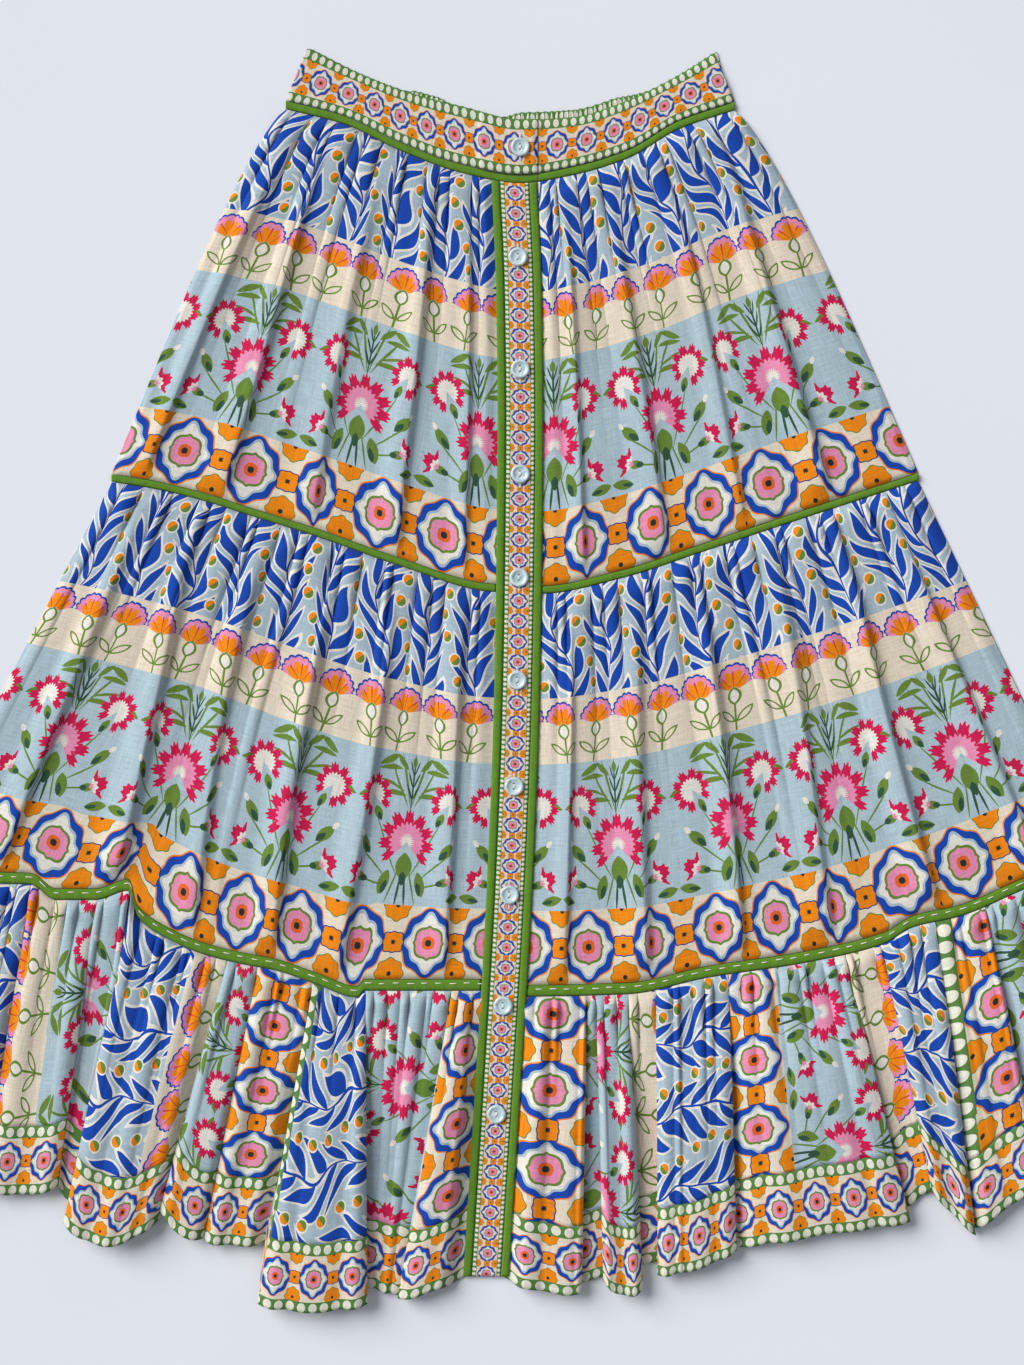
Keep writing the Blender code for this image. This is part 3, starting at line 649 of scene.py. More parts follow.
COLOURS = {
    "cobalt": "#1049B4", "navy": "#23427C", "mist": "#B1C6D3", "sky": "#B6CDD8", "cream": "#EFE2CD",
    "white": "#F1EDE4", "orange": "#F98F0C", "flame": "#EC6B2B", "ember": "#D9481F", "pink": "#F095BA",
    "crimson": "#D61853", "leaf": "#6C8C38", "dark": "#34573F", "trim": "#5B8843", "spot": "#EDEDDC",
    "piping": "#66942C", "ink": "#23302E",
}


def add(tree, kind, *links, **settings):
    """Add a node with its settings and links. A kind in capitals is a Math node's operation.

    links fill the inputs in order; each is a number, a vector, a colour's name, or the socket it comes
    from. The first output in use is returned; the others are reached through that socket's node.
    """
    if kind.isupper() and kind != "RGB":
        settings["operation"] = kind
        kind = "Math"
    node = tree.nodes.new("ShaderNode" + kind)
    for name, value in settings.items():
        setattr(node, name, value)
    for socket, link in zip(node.inputs, links):
        if link is None:
            continue
        if isinstance(link, bpy.types.NodeSocket):
            tree.links.new(link, socket)
        elif isinstance(link, str):
            socket.default_value = linear(COLOURS[link])
        else:
            socket.default_value = link
    return next((socket for socket in node.outputs if socket.enabled), None)


def paint(tree, under, value, limit, over):
    """Colour over where value is below limit, and what lies under it elsewhere."""
    return add(tree, "MixRGB", add(tree, "LESS_THAN", value, limit), under, over)


def length(tree, x, y):
    """Length of the vector (x, y)."""
    return add(tree, "VectorMath", add(tree, "CombineXYZ", x, y, 0.0), operation="LENGTH")


def wave(tree, turn, count, high, base=0.0):
    """Value with count waves in a full turn: base plus high times their cosine."""
    return add(tree, "MULTIPLY_ADD", add(tree, "COSINE", add(tree, "MULTIPLY", turn, count)), high, base)


def rings(tree, value, stops):
    """Colours in steps along a value: (up to, colour) for each."""
    ramp = add(tree, "ValToRGB", value)
    steps = ramp.node.color_ramp
    steps.interpolation = "CONSTANT"
    start = 0.0
    for number, (end, colour) in enumerate(stops):
        stop = steps.elements[0] if number == 0 else steps.elements.new(start)
        stop.position = start
        stop.color = linear(COLOURS[colour])
        start = end
    steps.elements.remove(steps.elements[-1])
    return ramp


def leaf_shape(tree, point, x, y, turn, half_long, half_wide):
    """Pointed oval at (x, y), turned by degrees: below 1.25 inside, from two crossing circles."""
    local = add(tree, "Mapping", point, (x, y, 0), (0, 0, math.radians(turn)),
                (half_long, 2 * half_wide, 1), vector_type="TEXTURE")
    folded = add(tree, "VectorMath", local, operation="ABSOLUTE")
    shifted = add(tree, "VectorMath", folded, (0, 0.75, 0), operation="ADD")
    return add(tree, "VectorMath", shifted, operation="LENGTH")


def centred(tree, value, pitch, shift=0.0):
    """Distance from the nearest middle of a repeat, from minus half a pitch to plus half a pitch."""
    moved = add(tree, "ADD", value, pitch / 2 - shift)
    turned = add(tree, "FLOORED_MODULO", moved, pitch)
    return add(tree, "SUBTRACT", turned, pitch / 2)


def draw_medallions(tree, along, across, pitch, high, tips=0.09, squeeze=0.885):
    """Row of lobed medallions with square flowers between them and half domes at both edges.

    They are drawn at the size of the upper tiers' band and scaled to the strip's own pitch and height.
    """
    put = partial(add, tree)
    to_drawn_x = MEDALLION_PITCH / pitch
    up = put("MULTIPLY", put("SUBTRACT", across, high / 2), MEDALLION_HIGH / high)
    x = put("MULTIPLY", centred(tree, along, pitch, pitch / 2), to_drawn_x)
    turn = put("ARCTAN2", up, x)
    upright = put("ABSOLUTE", put("SINE", turn))
    lobe_high = put("MULTIPLY_ADD", upright, 0.05, 0.008)
    lobes = wave(tree, turn, 8.0, lobe_high)
    head = put("MULTIPLY", put("POWER", upright, 7.0), tips)
    radius = length(tree, x, put("MULTIPLY", up, squeeze))
    reach = put("MULTIPLY", put("ADD", put("ADD", lobes, head), 1.0), 24.2)
    ring = put("DIVIDE", radius, reach)
    quarter = put("ABSOLUTE", put("COSINE", put("MULTIPLY", turn, 2.0)))
    inner = put("DIVIDE", ring, put("MULTIPLY_ADD", put("POWER", quarter, 9.0), 0.13, 0.74))
    square = put("MULTIPLY_ADD", put("POWER", quarter, 26.0), 0.12, wave(tree, turn, 4.0, -0.07, 1.0))
    core = put("DIVIDE", put("DIVIDE", radius, square), 25.0)
    medallion = rings(tree, ring, [(0.955, "cobalt"), (1.0, "orange")])
    middle = rings(tree, inner, [(0.895, "white"), (1.0, "mist")])
    heart = rings(tree, core, [(0.10, "ink"), (0.21, "flame"), (0.44, "pink"), (0.52, "leaf")])
    colour = paint(tree, "cream", ring, 1.0, medallion)
    colour = paint(tree, colour, inner, 1.0, middle)
    colour = paint(tree, colour, core, 0.52, heart)
    x_between = put("MULTIPLY", centred(tree, along, pitch), to_drawn_x)
    wide_4 = put("POWER", put("ABSOLUTE", x_between), 4.0)
    high_4 = put("POWER", put("ABSOLUTE", up), 4.0)
    bent = wave(tree, put("ARCTAN2", up, x_between), 8.0, 0.045)
    square = put("DIVIDE", put("POWER", put("ADD", wide_4, high_4), 0.25), 9.0)
    square = put("SUBTRACT", square, bent)
    flower = rings(tree, square, [(0.20, "ink"), (0.88, "orange"), (1.0, "navy")])
    colour = paint(tree, colour, square, 0.99, flower)
    rise = put("SUBTRACT", put("MULTIPLY_ADD", put("SIGN", up), -2.2, 28.8), put("ABSOLUTE", up))
    dome_turn = put("ARCTAN2", x_between, rise)
    point_up = put("POWER", put("MAXIMUM", put("COSINE", dome_turn), 0.0), 2.5)
    dome_reach = put("MULTIPLY_ADD", point_up, 1.6, wave(tree, dome_turn, 8.0, 0.7, 12.0))
    dome = put("DIVIDE", length(tree, x_between, rise), dome_reach)
    half = rings(tree, dome, [(0.16, "ink"), (0.92, "orange"), (1.0, "leaf")])
    return paint(tree, colour, dome, 0.99, half)


def draw_fans(tree, along, across):
    """Row of fan-shaped frilled flowers on thin stems, each with two outline leaves, leaning in turn.

    A fan is drawn 31.5 mm from the next and stretched along the cloth, where they stand 42 mm apart.
    """
    put = partial(add, tree)
    pitch = 31.5
    along = put("MULTIPLY", along, 0.75)
    number = put("FLOOR", put("DIVIDE", put("ADD", along, pitch / 2), pitch))
    lean = put("SUBTRACT", put("MULTIPLY", put("FLOORED_MODULO", number, 2.0), 0.22), 0.11)
    rise = put("SUBTRACT", 25.5, across)
    x = put("SUBTRACT", centred(tree, along, pitch), put("MULTIPLY", lean, rise))
    side = put("ABSOLUTE", x)
    mirrored = put("CombineXYZ", side, across, 0.0)
    stem = put("MULTIPLY", put("LESS_THAN", side, 0.75), put("GREATER_THAN", across, 34.0))
    colour = put("MixRGB", stem, "cream", "leaf")
    blade = leaf_shape(tree, mirrored, 6.6, 44.6, -42, 8.6, 3.3)
    colour = paint(tree, colour, blade, 1.22, "leaf")
    colour = paint(tree, colour, blade, 1.04, "cream")
    cup = leaf_shape(tree, mirrored, 0.0, 29.5, 90, 7.0, 4.8)
    colour = paint(tree, colour, cup, 1.27, "leaf")
    colour = paint(tree, colour, cup, 1.08, "white")
    turn = put("ARCTAN2", x, rise)
    radius = length(tree, x, rise)
    frill = put("POWER", put("ABSOLUTE", put("SINE", put("MULTIPLY", turn, 11.0))), 0.7)
    reach = put("MULTIPLY_ADD", frill, 1.6, wave(tree, turn, 2.0, 3.6, 17.2))
    ring = put("DIVIDE", radius, reach)
    inner = put("ADD", ring, wave(tree, turn, 11.0, 0.10))
    head = rings(tree, inner, [(0.68, "orange"), (1.0, "pink")])
    stroke = put("LESS_THAN", put("ABSOLUTE", put("SINE", put("MULTIPLY", turn, 5.0))), 0.22)
    stroke = put("MULTIPLY", stroke, put("LESS_THAN", ring, 0.74))
    head = put("MixRGB", stroke, head, "ember")
    head = put("MixRGB", put("GREATER_THAN", ring, 0.92), head, "cobalt")
    inside = put("MULTIPLY", put("LESS_THAN", ring, 1.0), put("LESS_THAN", put("ABSOLUTE", turn), 1.22))
    inside = put("MULTIPLY", inside, put("GREATER_THAN", radius, 3.0))
    return put("MixRGB", inside, colour, head)


# Strokes of the bouquet on one side of its middle, in the order they are painted:
# (x, y from the band's top, turn in degrees, half long, half wide, colour)
BOUQUET_STROKES = [
    (0.0, 24, 90, 26, 1.0, "dark"), (3.0, 12, 112, 7, 0.8, "dark"), (3.4, 22, 115, 8, 0.9, "dark"),
    (3.4, 32, 118, 8, 1.0, "dark"), (3.2, 114, 84, 14, 1.1, "dark"), (9, 110, 74, 17, 0.8, "leaf"),
    (19, 78, -62, 30, 0.8, "leaf"), (29, 92, -42, 20, 0.8, "leaf"), (27, 108, -16, 13, 0.8, "leaf"),
    (39, 78, -48, 10.0, 4.6, "leaf"), (36, 81.4, -48, 5.6, 2.5, "dark"),
    (46.6, 69.5, -48, 3.8, 2.2, "white"), (16.5, 108, 72, 11.0, 4.8, "leaf"),
    (15.6, 112, 72, 6.2, 2.4, "dark"), (0, 7, 90, 5.0, 2.8, "leaf"),
    (51, 118, -12, 9.5, 4.2, "leaf"), (47, 119, -12, 5, 1.8, "dark"), (30.5, 52, -62, 6.5, 3.4, "leaf"),
    (29.0, 54.8, -62, 3.8, 2.0, "dark"), (0.0, 94, 90, 12, 7.6, "leaf"), (0.0, 104, 90, 6.0, 3.4, "dark"),
    (38, 104.5, -14, 5.8, 3.6, "leaf"), (34.5, 105.5, -14, 3.4, 2.6, "dark"),
]
# Grassy strokes, drawn on a plan that droops with the square of the distance from the middle
GRASS_STROKES = [
    (7.0, 22, 106, 25, 1.0, "leaf"), (14.0, 24, 118, 24, 1.0, "leaf"), (22.0, 22, 146, 17, 1.1, "leaf"),
    (13, 6, 130, 10, 2.2, "leaf"), (24, 8, 160, 13, 2.1, "leaf"), (17, 31, 160, 12, 2.1, "leaf"),
    (27, 0.5, 178, 9.5, 3.4, "leaf"), (52, 12, 150, 9.0, 2.2, "leaf"),
]


def ragged_flower(tree, under, point, place, turn, size, petals, stops, opening):
    """Jagged round flower over what lies under it: petals split by narrow cuts, with a toothed rim."""
    put = partial(add, tree)
    local = put("Mapping", point, (*place, 0), (0, 0, math.radians(turn)), (size, size, 1),
                vector_type="TEXTURE")
    parts = put("SeparateXYZ", local)
    angle = put("ARCTAN2", parts, put("MULTIPLY", parts.node.outputs["Y"], -1.0))
    radius = put("VectorMath", local, operation="LENGTH")
    cut = put("POWER", put("ABSOLUTE", put("COSINE", put("MULTIPLY", angle, petals / 2))), 0.35)
    teeth = wave(tree, angle, petals * 4.0, 0.06)
    reach = put("ADD", put("ADD", put("MULTIPLY", cut, 0.52), teeth), 0.41)
    ring = put("DIVIDE", radius, reach)
    face = rings(tree, put("ADD", radius, wave(tree, angle, petals * 2.0, 0.05)), stops)
    open_part = put("LESS_THAN", put("ABSOLUTE", angle), opening)
    inside = put("MULTIPLY", put("LESS_THAN", ring, 1.0), open_part)
    return put("MixRGB", inside, under, face)


def draw_bouquets(tree, along, across):
    """Bouquets of ragged flowers, buds and grassy leaves on a sky ground, each even about its middle."""
    put = partial(add, tree)
    x = centred(tree, along, REPEAT, REPEAT / 2)
    mirrored = put("CombineXYZ", put("ABSOLUTE", x), across, 0.0)
    colour = draw_plain(tree, along, across, "sky")
    droop = put("MULTIPLY", put("MULTIPLY", x, x), -0.009)
    drooped = put("CombineXYZ", put("ABSOLUTE", x), put("ADD", across, droop), 0.0)
    for strokes, plan in ((GRASS_STROKES, drooped), (BOUQUET_STROKES, mirrored)):
        for place_x, place_y, turn, long, wide, shade in strokes:
            stroke = leaf_shape(tree, plan, place_x, place_y, turn, long, wide)
            colour = paint(tree, colour, stroke, 1.25, shade)
    half_open = [(0.24, "pink"), (0.44, "white"), (1.3, "crimson")]
    small = [(0.50, "white"), (1.3, "crimson")]
    large = [(0.20, "white"), (0.54, "pink"), (1.3, "crimson")]
    colour = ragged_flower(tree, colour, mirrored, (39.5, 104), 62, 16.5, 5, half_open, 1.0)
    colour = ragged_flower(tree, colour, mirrored, (38, 38), 28, 19.0, 10, small, 2.7)
    return ragged_flower(tree, colour, mirrored, (0, 73), 0, 28.0, 11, large, 2.4)


def draw_leaves(tree, along, across):
    """Cobalt leaves on winding stems over a mist ground, outlined in white, with two-coloured berries."""
    put = partial(add, tree)
    pitch = 61.0
    step = 22.0
    winding = put("MULTIPLY", put("SINE", put("DIVIDE", across, 17.0)), 7.0)
    spot = put("CombineXYZ", along, across, 0.0)
    noise = put("TexNoise", spot, None, 0.022, 0.0, noise_dimensions="2D")
    wander = put("MULTIPLY_ADD", noise, 30.0, -15.0)
    place = put("ADD", put("ADD", along, winding), wander)
    away = centred(tree, place, pitch)
    number = put("ROUND", put("DIVIDE", place, pitch))
    reach = put("ABSOLUTE", away)
    side = put("MULTIPLY", put("GREATER_THAN", away, 0.0), step / 2)
    curve = put("MULTIPLY", put("MULTIPLY", reach, reach), 0.013)
    climb = put("ADD", put("ADD", across, curve), put("MULTIPLY_ADD", number, 7.1, side))
    leaf = put("CombineXYZ", reach, put("FLOORED_MODULO", climb, step), 0.0)
    nearest = None
    for copy in (-1, 0, 1, 2):
        blade = leaf_shape(tree, leaf, 12.2, 9.0 + copy * step, -46, 16.6, 5.4)
        nearest = blade if nearest is None else put("MINIMUM", nearest, blade)
    stem = put("SUBTRACT", reach, 0.9)
    outline = put("MAXIMUM", put("LESS_THAN", nearest, 1.42), put("LESS_THAN", stem, 2.0))
    inside = put("MAXIMUM", put("LESS_THAN", nearest, 1.25), put("LESS_THAN", stem, 0.0))
    colour = put("MixRGB", outline, "mist", "white")
    colour = put("MixRGB", inside, colour, "cobalt")
    berry_step = 18.0
    berry_row = put("FLOOR", put("DIVIDE", across, berry_step))
    berry_y = centred(tree, across, berry_step, berry_step / 2)
    zigzag = put("MULTIPLY", put("SINE", put("MULTIPLY_ADD", berry_row, 1.06, 0.53)), 9.0)
    berry_x = centred(tree, put("ADD", along, zigzag), pitch, pitch / 2)
    berry = length(tree, berry_x, berry_y)
    colour = paint(tree, colour, berry, 5.7, "white")
    colour = paint(tree, colour, berry, 4.4, "orange")
    upper_half = put("GREATER_THAN", put("ADD", berry_x, berry_y), 0.0)
    green = put("MULTIPLY", put("LESS_THAN", berry, 4.4), upper_half)
    return put("MixRGB", green, colour, "leaf")


def draw_spots(tree, along, across, high, pitch, wide):
    """Green trim with a row of off-white oval spots down its middle."""
    put = partial(add, tree)
    x = put("DIVIDE", centred(tree, along, pitch), wide)
    y = put("DIVIDE", put("SUBTRACT", across, high / 2), high * 0.40)
    return paint(tree, "trim", length(tree, x, y), 1.0, "spot")


def draw_plain(tree, along, across, colour):
    """One dyed colour."""
    plain = add(tree, "RGB")
    plain.default_value = linear(COLOURS[colour])
    return plain


def new_material(name):
    """Empty node material, and the call that adds a node to its tree."""
    material = bpy.data.materials.new(name)
    material.use_nodes = True
    material.node_tree.nodes.clear()
    return material, partial(add, material.node_tree)


def woven(name, draw, **facts):
    """Printed linen-cotton plain weave: matt, with uneven yarns that show as fine darker and lighter slubs.

    Its yarns are 0.45 mm apart; the bump is drawn 0.9 mm apart, which is the finest that shows.
    """
    material, put = new_material(name)
    cloth = put("UVMap", uv_map="cloth")
    place = put("VectorMath", cloth, None, None, 1000.0, operation="SCALE")
    parts = put("SeparateXYZ", place)
    ink = draw(material.node_tree, parts, parts.node.outputs["Y"], **facts)
    warp = put("Mapping", place, (0, 0, 0), (0, 0, 0), (1.1, 0.06, 1))
    weft = put("Mapping", place, (0, 0, 0), (0, 0, 0), (0.06, 1.1, 1))
    slub = put("ADD", put("TexNoise", warp, None, 1.0, 2.0), put("TexNoise", weft, None, 1.0, 2.0))
    shade = put("MULTIPLY_ADD", slub, 0.46, 0.325)
    tone = put("VectorMath", ink, None, None, shade, operation="SCALE")
    yarn = put("MULTIPLY", put("SINE", put("MULTIPLY", parts, 7.0)),
               put("SINE", put("MULTIPLY", parts.node.outputs["Y"], 7.0)))
    height = put("MULTIPLY_ADD", yarn, 0.25, slub)
    bump = put("Bump", 0.35, 0.00018, None, height)
    shader = put("BsdfPrincipled", tone).node
    material.node_tree.links.new(bump, shader.inputs["Normal"])
    shader.inputs["Roughness"].default_value = 0.88
    shader.inputs["Specular IOR Level"].default_value = 0.2
    shader.inputs["Sheen Weight"].default_value = 0.05
    put("OutputMaterial", shader.outputs[0])
    return material


def pearl():
    """Moulded polyester pearl: pale blue-white, with soft cloudy streaks under a gloss."""
    material, put = new_material("moulded_polyester_pearl")
    place = put("TexCoord").node.outputs["Object"]
    cloud = put("TexNoise", place, None, 260.0, 3.0, 0.6, None, None, 1.2)
    colour = put("ValToRGB", cloud)
    steps = colour.node.color_ramp.elements
    steps[0].color = linear("#A3BFC8")
    steps[1].color = linear("#D3E4E8")
    steps[0].position = 0.3
    steps[1].position = 0.7
    shader = put("BsdfPrincipled", colour).node
    shader.inputs["Roughness"].default_value = 0.22
    shader.inputs["Coat Weight"].default_value = 0.4
    shader.inputs["Coat Roughness"].default_value = 0.12
    put("OutputMaterial", shader.outputs[0])
    return material


def thread(name, code):
    """Spun polyester sewing thread: soft, slightly lustrous, with painted shade in the grooves of a fine
    twist across it.
    """
    material, put = new_material(name)
    place = put("TexCoord").node.outputs["Object"]
    # Darker bands across the thread are painted shade for the grooves of its twist, down to 0.6 of its colour
    twist_groove_shade = put("TexWave", place, 900.0, 1.5)
    colour = put("MixRGB", put("MULTIPLY", twist_groove_shade.node.outputs["Fac"], 0.35), None, None)
    colour.node.inputs[1].default_value = linear(code)
    colour.node.inputs[2].default_value = tuple(0.6 * part for part in linear(code)[:3]) + (1.0,)
    shader = put("BsdfPrincipled", colour).node
    shader.inputs["Roughness"].default_value = 0.6
    put("OutputMaterial", shader.outputs[0])
    return material


def finishes_table():
    """Every printed and plain cloth by its short name."""
    return {
        "leaf": woven("printed_linen_cotton_leaf_band", draw_leaves),
        "fan": woven("printed_linen_cotton_fan_band", draw_fans),
        "bouquet": woven("printed_linen_cotton_bouquet_band", draw_bouquets),
        "medallion": woven("printed_linen_cotton_medallion_band", draw_medallions,
                           pitch=MEDALLION_PITCH, high=MEDALLION_HIGH),
        "spot": woven("printed_linen_cotton_spot_strip", draw_spots, high=16.0, pitch=12.0, wide=4.4),
        "hem_spot": woven("printed_border_hem_spots", draw_spots, high=10.0, pitch=9.6, wide=3.5),
        "hem_medallion": woven("printed_border_hem_medallions", draw_medallions, pitch=34.0, high=39.0,
                               tips=0.06, squeeze=0.98),
        "waist_spot": woven("printed_border_waist_spots", draw_spots, high=8.5, pitch=7.6, wide=2.5),
        "waist_medallion": woven("printed_border_waist_medallions", draw_medallions, pitch=26.0, high=27.5,
                                 tips=0.06, squeeze=0.98),
        "placket_spot": woven("printed_border_placket_spots", draw_spots, high=3.7, pitch=4.1, wide=1.35),
        "placket_medallion": woven("printed_border_placket_medallions", draw_medallions, pitch=17.3,
                                   high=17.0, tips=0.04, squeeze=0.90),
        "piping": woven("dyed_cotton_bias_tape", draw_plain, colour="piping"),
    }


# Buttons and stitches

def simple_piece(name, points, faces, finish):
    """Piece from points in layout millimetres and its faces."""
    mesh = bpy.data.meshes.new(name)
    points = (points - np.array([MIDDLE_X, MIDDLE_Y, 0])) * MM
    mesh.from_pydata(points.tolist(), [], faces)
    mesh.update()
    mesh.materials.append(finish)
    mesh.shade_smooth()
    piece = linked(name, mesh)
    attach(piece, "root")
    return piece


def tubes(paths, radius, sides=7):
    """Closed round threads along paths (paths, points, 3): a ring of points round each path point.

    Both ends are drawn in, by the square root of a clipped sine of the place along the path.
    """
    count, steps, _ = paths.shape
    ahead = np.gradient(paths, axis=1)
    ahead /= np.linalg.norm(ahead, axis=-1, keepdims=True)
    first = np.cross(ahead, np.array([0.31, 0.17, 0.93]))
    first /= np.linalg.norm(first, axis=-1, keepdims=True)
    second = np.cross(ahead, first)
    angle = np.arange(sides) * 2 * math.pi / sides
    share = np.linspace(0, 1, steps)
    swell = radius * np.clip(np.sin(math.pi * np.clip(share, 0.02, 0.98)) * 3, 0.25, 1.0) ** 0.5
    ring = (np.cos(angle)[:, None] * first[:, :, None] + np.sin(angle)[:, None] * second[:, :, None])
    points = paths[:, :, None] + ring * swell[None, :, None, None]
    index = np.arange(count * steps * sides).reshape(count, steps, sides)
    around = np.roll(index, -1, axis=2)
    walls = np.stack([index[:, :-1], index[:, 1:], around[:, 1:], around[:, :-1]], axis=-1).reshape(-1, 4)
    faces = walls.tolist() + index[:, 0].tolist() + index[:, -1, ::-1].tolist()
    return points.reshape(-1, 3), faces


def button_solid():
    """Button turned from its profile of (radius, height): dished inside a raised rim, with two holes."""
    profile = np.array([
        (0, 1.55), (1.2, 1.55), (3.6, 1.55), (4.6, 1.75), (5.2, 2.2), (5.9, 2.62), (6.6, 2.75), (7.3, 2.6),
        (7.8, 2.2), (8.0, 1.6), (7.9, 0.9), (7.4, 0.3), (6.6, 0.0), (3.0, 0.0), (0, 0.0)])
    turned = bmesh.new()
    points = [turned.verts.new((x, 0, z)) for x, z in profile]
    edges = [turned.edges.new(pair) for pair in zip(points, points[1:])]
    bmesh.ops.spin(turned, geom=points + edges, cent=(0, 0, 0), axis=(0, 0, 1), angle=2 * math.pi, steps=48,
                   use_merge=True)
    bmesh.ops.remove_doubles(turned, verts=turned.verts, dist=0.001)
    bmesh.ops.recalc_face_normals(turned, faces=turned.faces)
    mesh = bpy.data.meshes.new("button_blank")
    turned.to_mesh(mesh)
    turned.free()
    blank = linked("button_blank", mesh)
    cutters = []
    for place in (-2.0, 2.0):
        bpy.ops.mesh.primitive_cylinder_add(vertices=16, radius=0.85, depth=9, location=(0, place, 1))
        cutters.append(bpy.context.object)
        cut = blank.modifiers.new("thread_hole", "BOOLEAN")
        cut.operation = "DIFFERENCE"
        cut.object = cutters[-1]
    bpy.context.view_layer.update()
    shown = blank.evaluated_get(bpy.context.evaluated_depsgraph_get())
    result = bpy.data.meshes.new_from_object(shown)
    bpy.data.objects.remove(blank)
    for cutter in cutters:
        bpy.data.objects.remove(cutter)
    return result


def buttons(finish, white):
    """Ten buttons, the thread between their holes, and the buttonhole stitches that show past them."""
    thread_half = 2.1
    hole_half = 11.4
    stitch_step = 0.62
    stitch_half = 1.15
    lap_button = 5.4
    placket_button = 4.5
    blank = button_solid()
    corner = np.zeros(len(blank.vertices) * 3)
    blank.vertices.foreach_get("co", corner)
    corner = corner.reshape(-1, 3)
    places = [(7.0, BUTTONS_Y[0], lap_button)]
    places += [(float(placket_x(y)), y, placket_button) for y in BUTTONS_Y[1:]]
    paths, holes = [], []
    for number, (x, y, level) in enumerate(places):
        mesh = blank.copy()
        mesh.name = f"button_{number}_pearl"
        moved = (corner + np.array([x - MIDDLE_X, y - MIDDLE_Y, level])) * MM
        mesh.vertices.foreach_set("co", moved.reshape(-1))
        mesh.update()
        mesh.materials.clear()
        mesh.materials.append(finish)
        mesh.shade_smooth()
        piece = linked(f"button_{number}_pearl", mesh)
        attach(piece, "root")
        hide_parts(f"button_{number}")
        for off in (-0.32, 0.0, 0.32):
            along = np.linspace(-thread_half, thread_half, 9)
            high = level + 0.5 + 1.5 * np.cos(along / thread_half * 1.45) ** 0.5
            paths.append(np.stack([x + off + 0 * along, y + along, high], axis=1))
        base = LAP_TOP if number == 0 else PLACKET_TOP
        for row in np.arange(-hole_half, hole_half + 0.1, stitch_step):
            across = np.linspace(-stitch_half, stitch_half, 5)
            high = base + 0.05 + 0.28 * np.cos(across / stitch_half * 1.4)
            holes.append(np.stack([x + across, y + row + 0.1 * across, high], axis=1))
    points, faces = tubes(np.array(paths), 0.22)
    piece = simple_piece("button_threads", points, faces, white)
    points, faces = tubes(np.array(holes), 0.26, 5)
    piece = simple_piece("buttonhole_stitches", points, faces, white)
    return piece


def running_stitches(white):
    """Hand running stitches along the piping of the lower seam: a dash of about 5.6 mm every 12 mm."""
    step = 12.0
    paths = []
    for start, end in ((-497, -26), (20, 489)):
        for number, place in enumerate(np.arange(start, end, step)):
            x = place + np.linspace(0, 5.6 + 0.9 * math.sin(number * 1.9), 7)
            y = through(TIER_2_SEAM, x) - 3.3 + 0.35 * math.sin(number * 2.7)
            rise = np.array([-0.25, 0.1, 0.25, 0.3, 0.25, 0.1, -0.25])
            paths.append(np.stack([x, y, PIPING_TOP + rise + 0.12 * np.sin(x / 9.0)], axis=1))
    points, faces = tubes(np.array(paths), 0.42, 6)
    piece = simple_piece("lower_piping_running_stitches", points, faces, white)
    return piece


def pipings(finishes):
    """Bias tape pipings of the three seams, front halves and backs, by their nodes' names."""
    made = {}
    seams = [("waist", WAIST_SEAM, WAIST_PIPING, None), ("tier_1", TIER_1_SEAM, TIER_1_PIPING, None),
             ("tier_2", TIER_2_SEAM, TIER_2_PIPING, 0.24)]
    for name, seam, wide, fold in seams:
        middle = float(placket_x(float(through(seam, 0.0)) - wide / 2))
        edge = PLACKET_WIDE / 2 + SEAM_GAP
        ends = {"right": (seam[0][0], middle - edge), "left": (middle + edge, seam[-1][0])}
        if name == "waist":
            ends = {"right": (seam[0][0], LAP_END), "left": (LAP_END + SEAM_GAP, seam[-1][0])}
        for side, (start, end) in ends.items():
            x = np.linspace(start, end, 241)
            top = through(seam, x)
            node = f"{name}_piping_front_{side}"
            piece = tape(f"{node}_tape", x, top, top - wide, PIPING_TOP - 0.5, 0.5, finishes["piping"],
                         fold_line=fold)
            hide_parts(node)
            made[node] = piece
        x = np.linspace(seam[0][0] + 2, seam[-1][0] - 2, 121)
        top = through(seam, x)
        piece = tape(f"{name}_piping_back_tape", x, top, top - wide, 0.9, 0.1, finishes["piping"], rows=4,
                     droop=0.2)
        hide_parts(f"{name}_piping_back")
        made[f"{name}_piping_back"] = piece
    return made


def placket(finishes, stitches):
    """Button stand, printed band and the two bindings of the placket."""
    edge = PLACKET_WIDE / 2
    band = edge - BINDING_WIDE - SEAM_GAP
    stand = edge - TUCK - 1.0
    piece = placket_strip("button_stand_cloth", "button_stand", -stand, stand, FRONT_TOP, finishes,
                          [("bouquet", 2 * stand)])
    strip = placket_strip(
        "placket_band_cloth", "placket_band", -band, band, PLACKET_TOP, finishes,
        [("placket_spot", 3.7), ("placket_medallion", 17.0), ("placket_spot", 3.7)])
    for side, sign in (("right", -1), ("left", 1)):
        inner, outer = sorted((sign * (edge - BINDING_WIDE), sign * edge))
        placket_strip(
            f"placket_binding_{side}_tape", f"placket_binding_{side}", inner, outer, BINDING_TOP, finishes,
            [("piping", BINDING_WIDE)], crown=0.7)


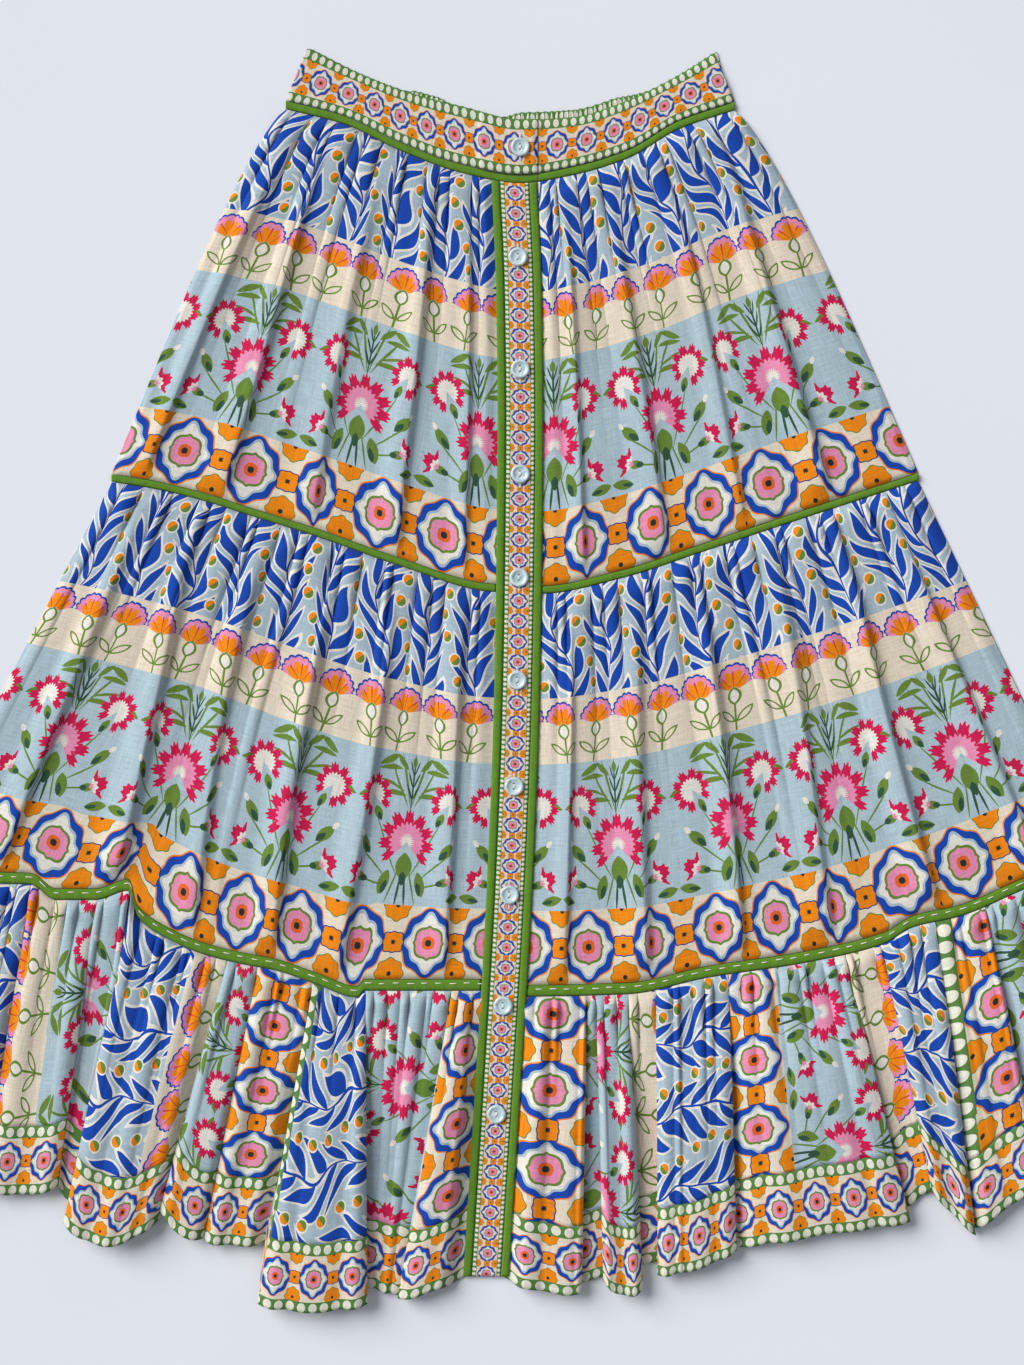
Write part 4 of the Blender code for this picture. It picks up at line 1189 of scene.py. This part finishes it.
def backs(finishes):
    """Back of each tier and of the hem border, flat on the ground."""
    back_panel("tier_1_back_cloth", "tier_1_back", (WAIST_SEAM, -WAIST_PIPING - SEAM_GAP, 2),
               (TIER_1_SEAM, SEAM_GAP, 2), UPPER_BANDS, finishes)
    back_panel("tier_2_back_cloth", "tier_2_back", (TIER_1_SEAM, -TIER_1_PIPING - SEAM_GAP, 2),
               (TIER_2_SEAM, SEAM_GAP, 2), UPPER_BANDS, finishes)
    back_panel("tier_3_back_cloth", "tier_3_back", (TIER_2_SEAM, -TIER_2_PIPING - SEAM_GAP, 2),
               (BACK_HEM, HEM_BORDER + SEAM_GAP, 35), [("bouquet", 124.0), ("medallion", 60.0)], finishes)
    back_panel("hem_band_back_cloth", "hem_band_back", (BACK_HEM, HEM_BORDER, 35), (BACK_HEM, 0, 2),
               [("hem_spot", 10.0), ("hem_medallion", 39.0), ("hem_spot", 9.0)], finishes)


def floor():
    """Painted board: pale, smooth and matt, very slightly blue, and uneven by a few levels."""
    half = 4.0
    level = -0.0002
    material = bpy.data.materials.new("painted_board")
    material.use_nodes = True
    tree = material.node_tree
    shader = tree.nodes["Principled BSDF"]
    place = add(tree, "TexCoord").node.outputs["Object"]
    cloud = add(tree, "TexNoise", place, None, 2.2, 2.0)
    colour = add(tree, "ValToRGB", cloud)
    steps = colour.node.color_ramp.elements
    steps[0].color = linear("#DEE2EA")
    steps[1].color = linear("#E4E8F0")
    tree.links.new(colour, shader.inputs["Base Color"])
    shader.inputs["Roughness"].default_value = 0.75
    mesh = bpy.data.meshes.new("table_top")
    corners = [(-half, -half, level), (half, -half, level), (half, half, level), (-half, half, level)]
    mesh.from_pydata(corners, [], [(0, 1, 2, 3)])
    mesh.materials.append(material)
    piece = linked("table_top", mesh)


def camera_and_light():
    """Camera straight above, framed as the photograph, with window-like light from the upper left."""
    data = bpy.data.cameras.new("overhead")
    data.sensor_fit = "VERTICAL"
    data.sensor_height = 24.0
    data.lens = data.sensor_height * CAMERA_HEIGHT / FRAME_HIGH
    camera = linked("overhead", data)
    camera.location = (-MIDDLE_X * MM, -MIDDLE_Y * MM, CAMERA_HEIGHT)
    bpy.context.scene.camera = camera
    window = bpy.data.lights.new("window", "SUN")
    window.energy = 3.75
    window.angle = math.radians(44)
    window.color = (1.0, 0.985, 0.96)
    lamp = linked("window", window)
    lamp.rotation_mode = "QUATERNION"
    lamp.rotation_quaternion = Vector(WINDOW_AIM).to_track_quat("-Z", "Y")
    world = bpy.data.worlds.new("room")
    world.use_nodes = True
    background = world.node_tree.nodes["Background"]
    background.inputs["Color"].default_value = (0.90, 0.94, 1.0, 1.0)
    background.inputs["Strength"].default_value = 0.32
    bpy.context.scene.world = world
    bpy.context.scene.view_settings.view_transform = "Standard"


def build():
    """All the pieces from the back up, then the table, light and camera."""
    finishes = finishes_table()
    white = thread("spun_polyester_thread_off_white", "#EDEBE2")
    tapes = pipings(finishes)
    dashes = {"right": [running_stitches(white)], "left": []}
    waistband_back(finishes)
    backs(finishes)
    for side in ("right", "left"):
        upper_tier("tier_1", side, WAIST_SEAM, TIER_1_SEAM, WAIST_PIPING, 12.0, finishes)
        upper_tier("tier_2", side, TIER_1_SEAM, TIER_2_SEAM, TIER_1_PIPING, 0.0, finishes)
        bottom_tier(side, finishes)
    waistband_front("right", WAIST_SEAM[0][0], LAP_END, 1.0, finishes)
    waistband_front("left", UNDERLAP_START, WAIST_SEAM[-1][0], 0.0, finishes)
    placket(finishes, buttons(pearl(), white))
    floor()
    camera_and_light()


build()
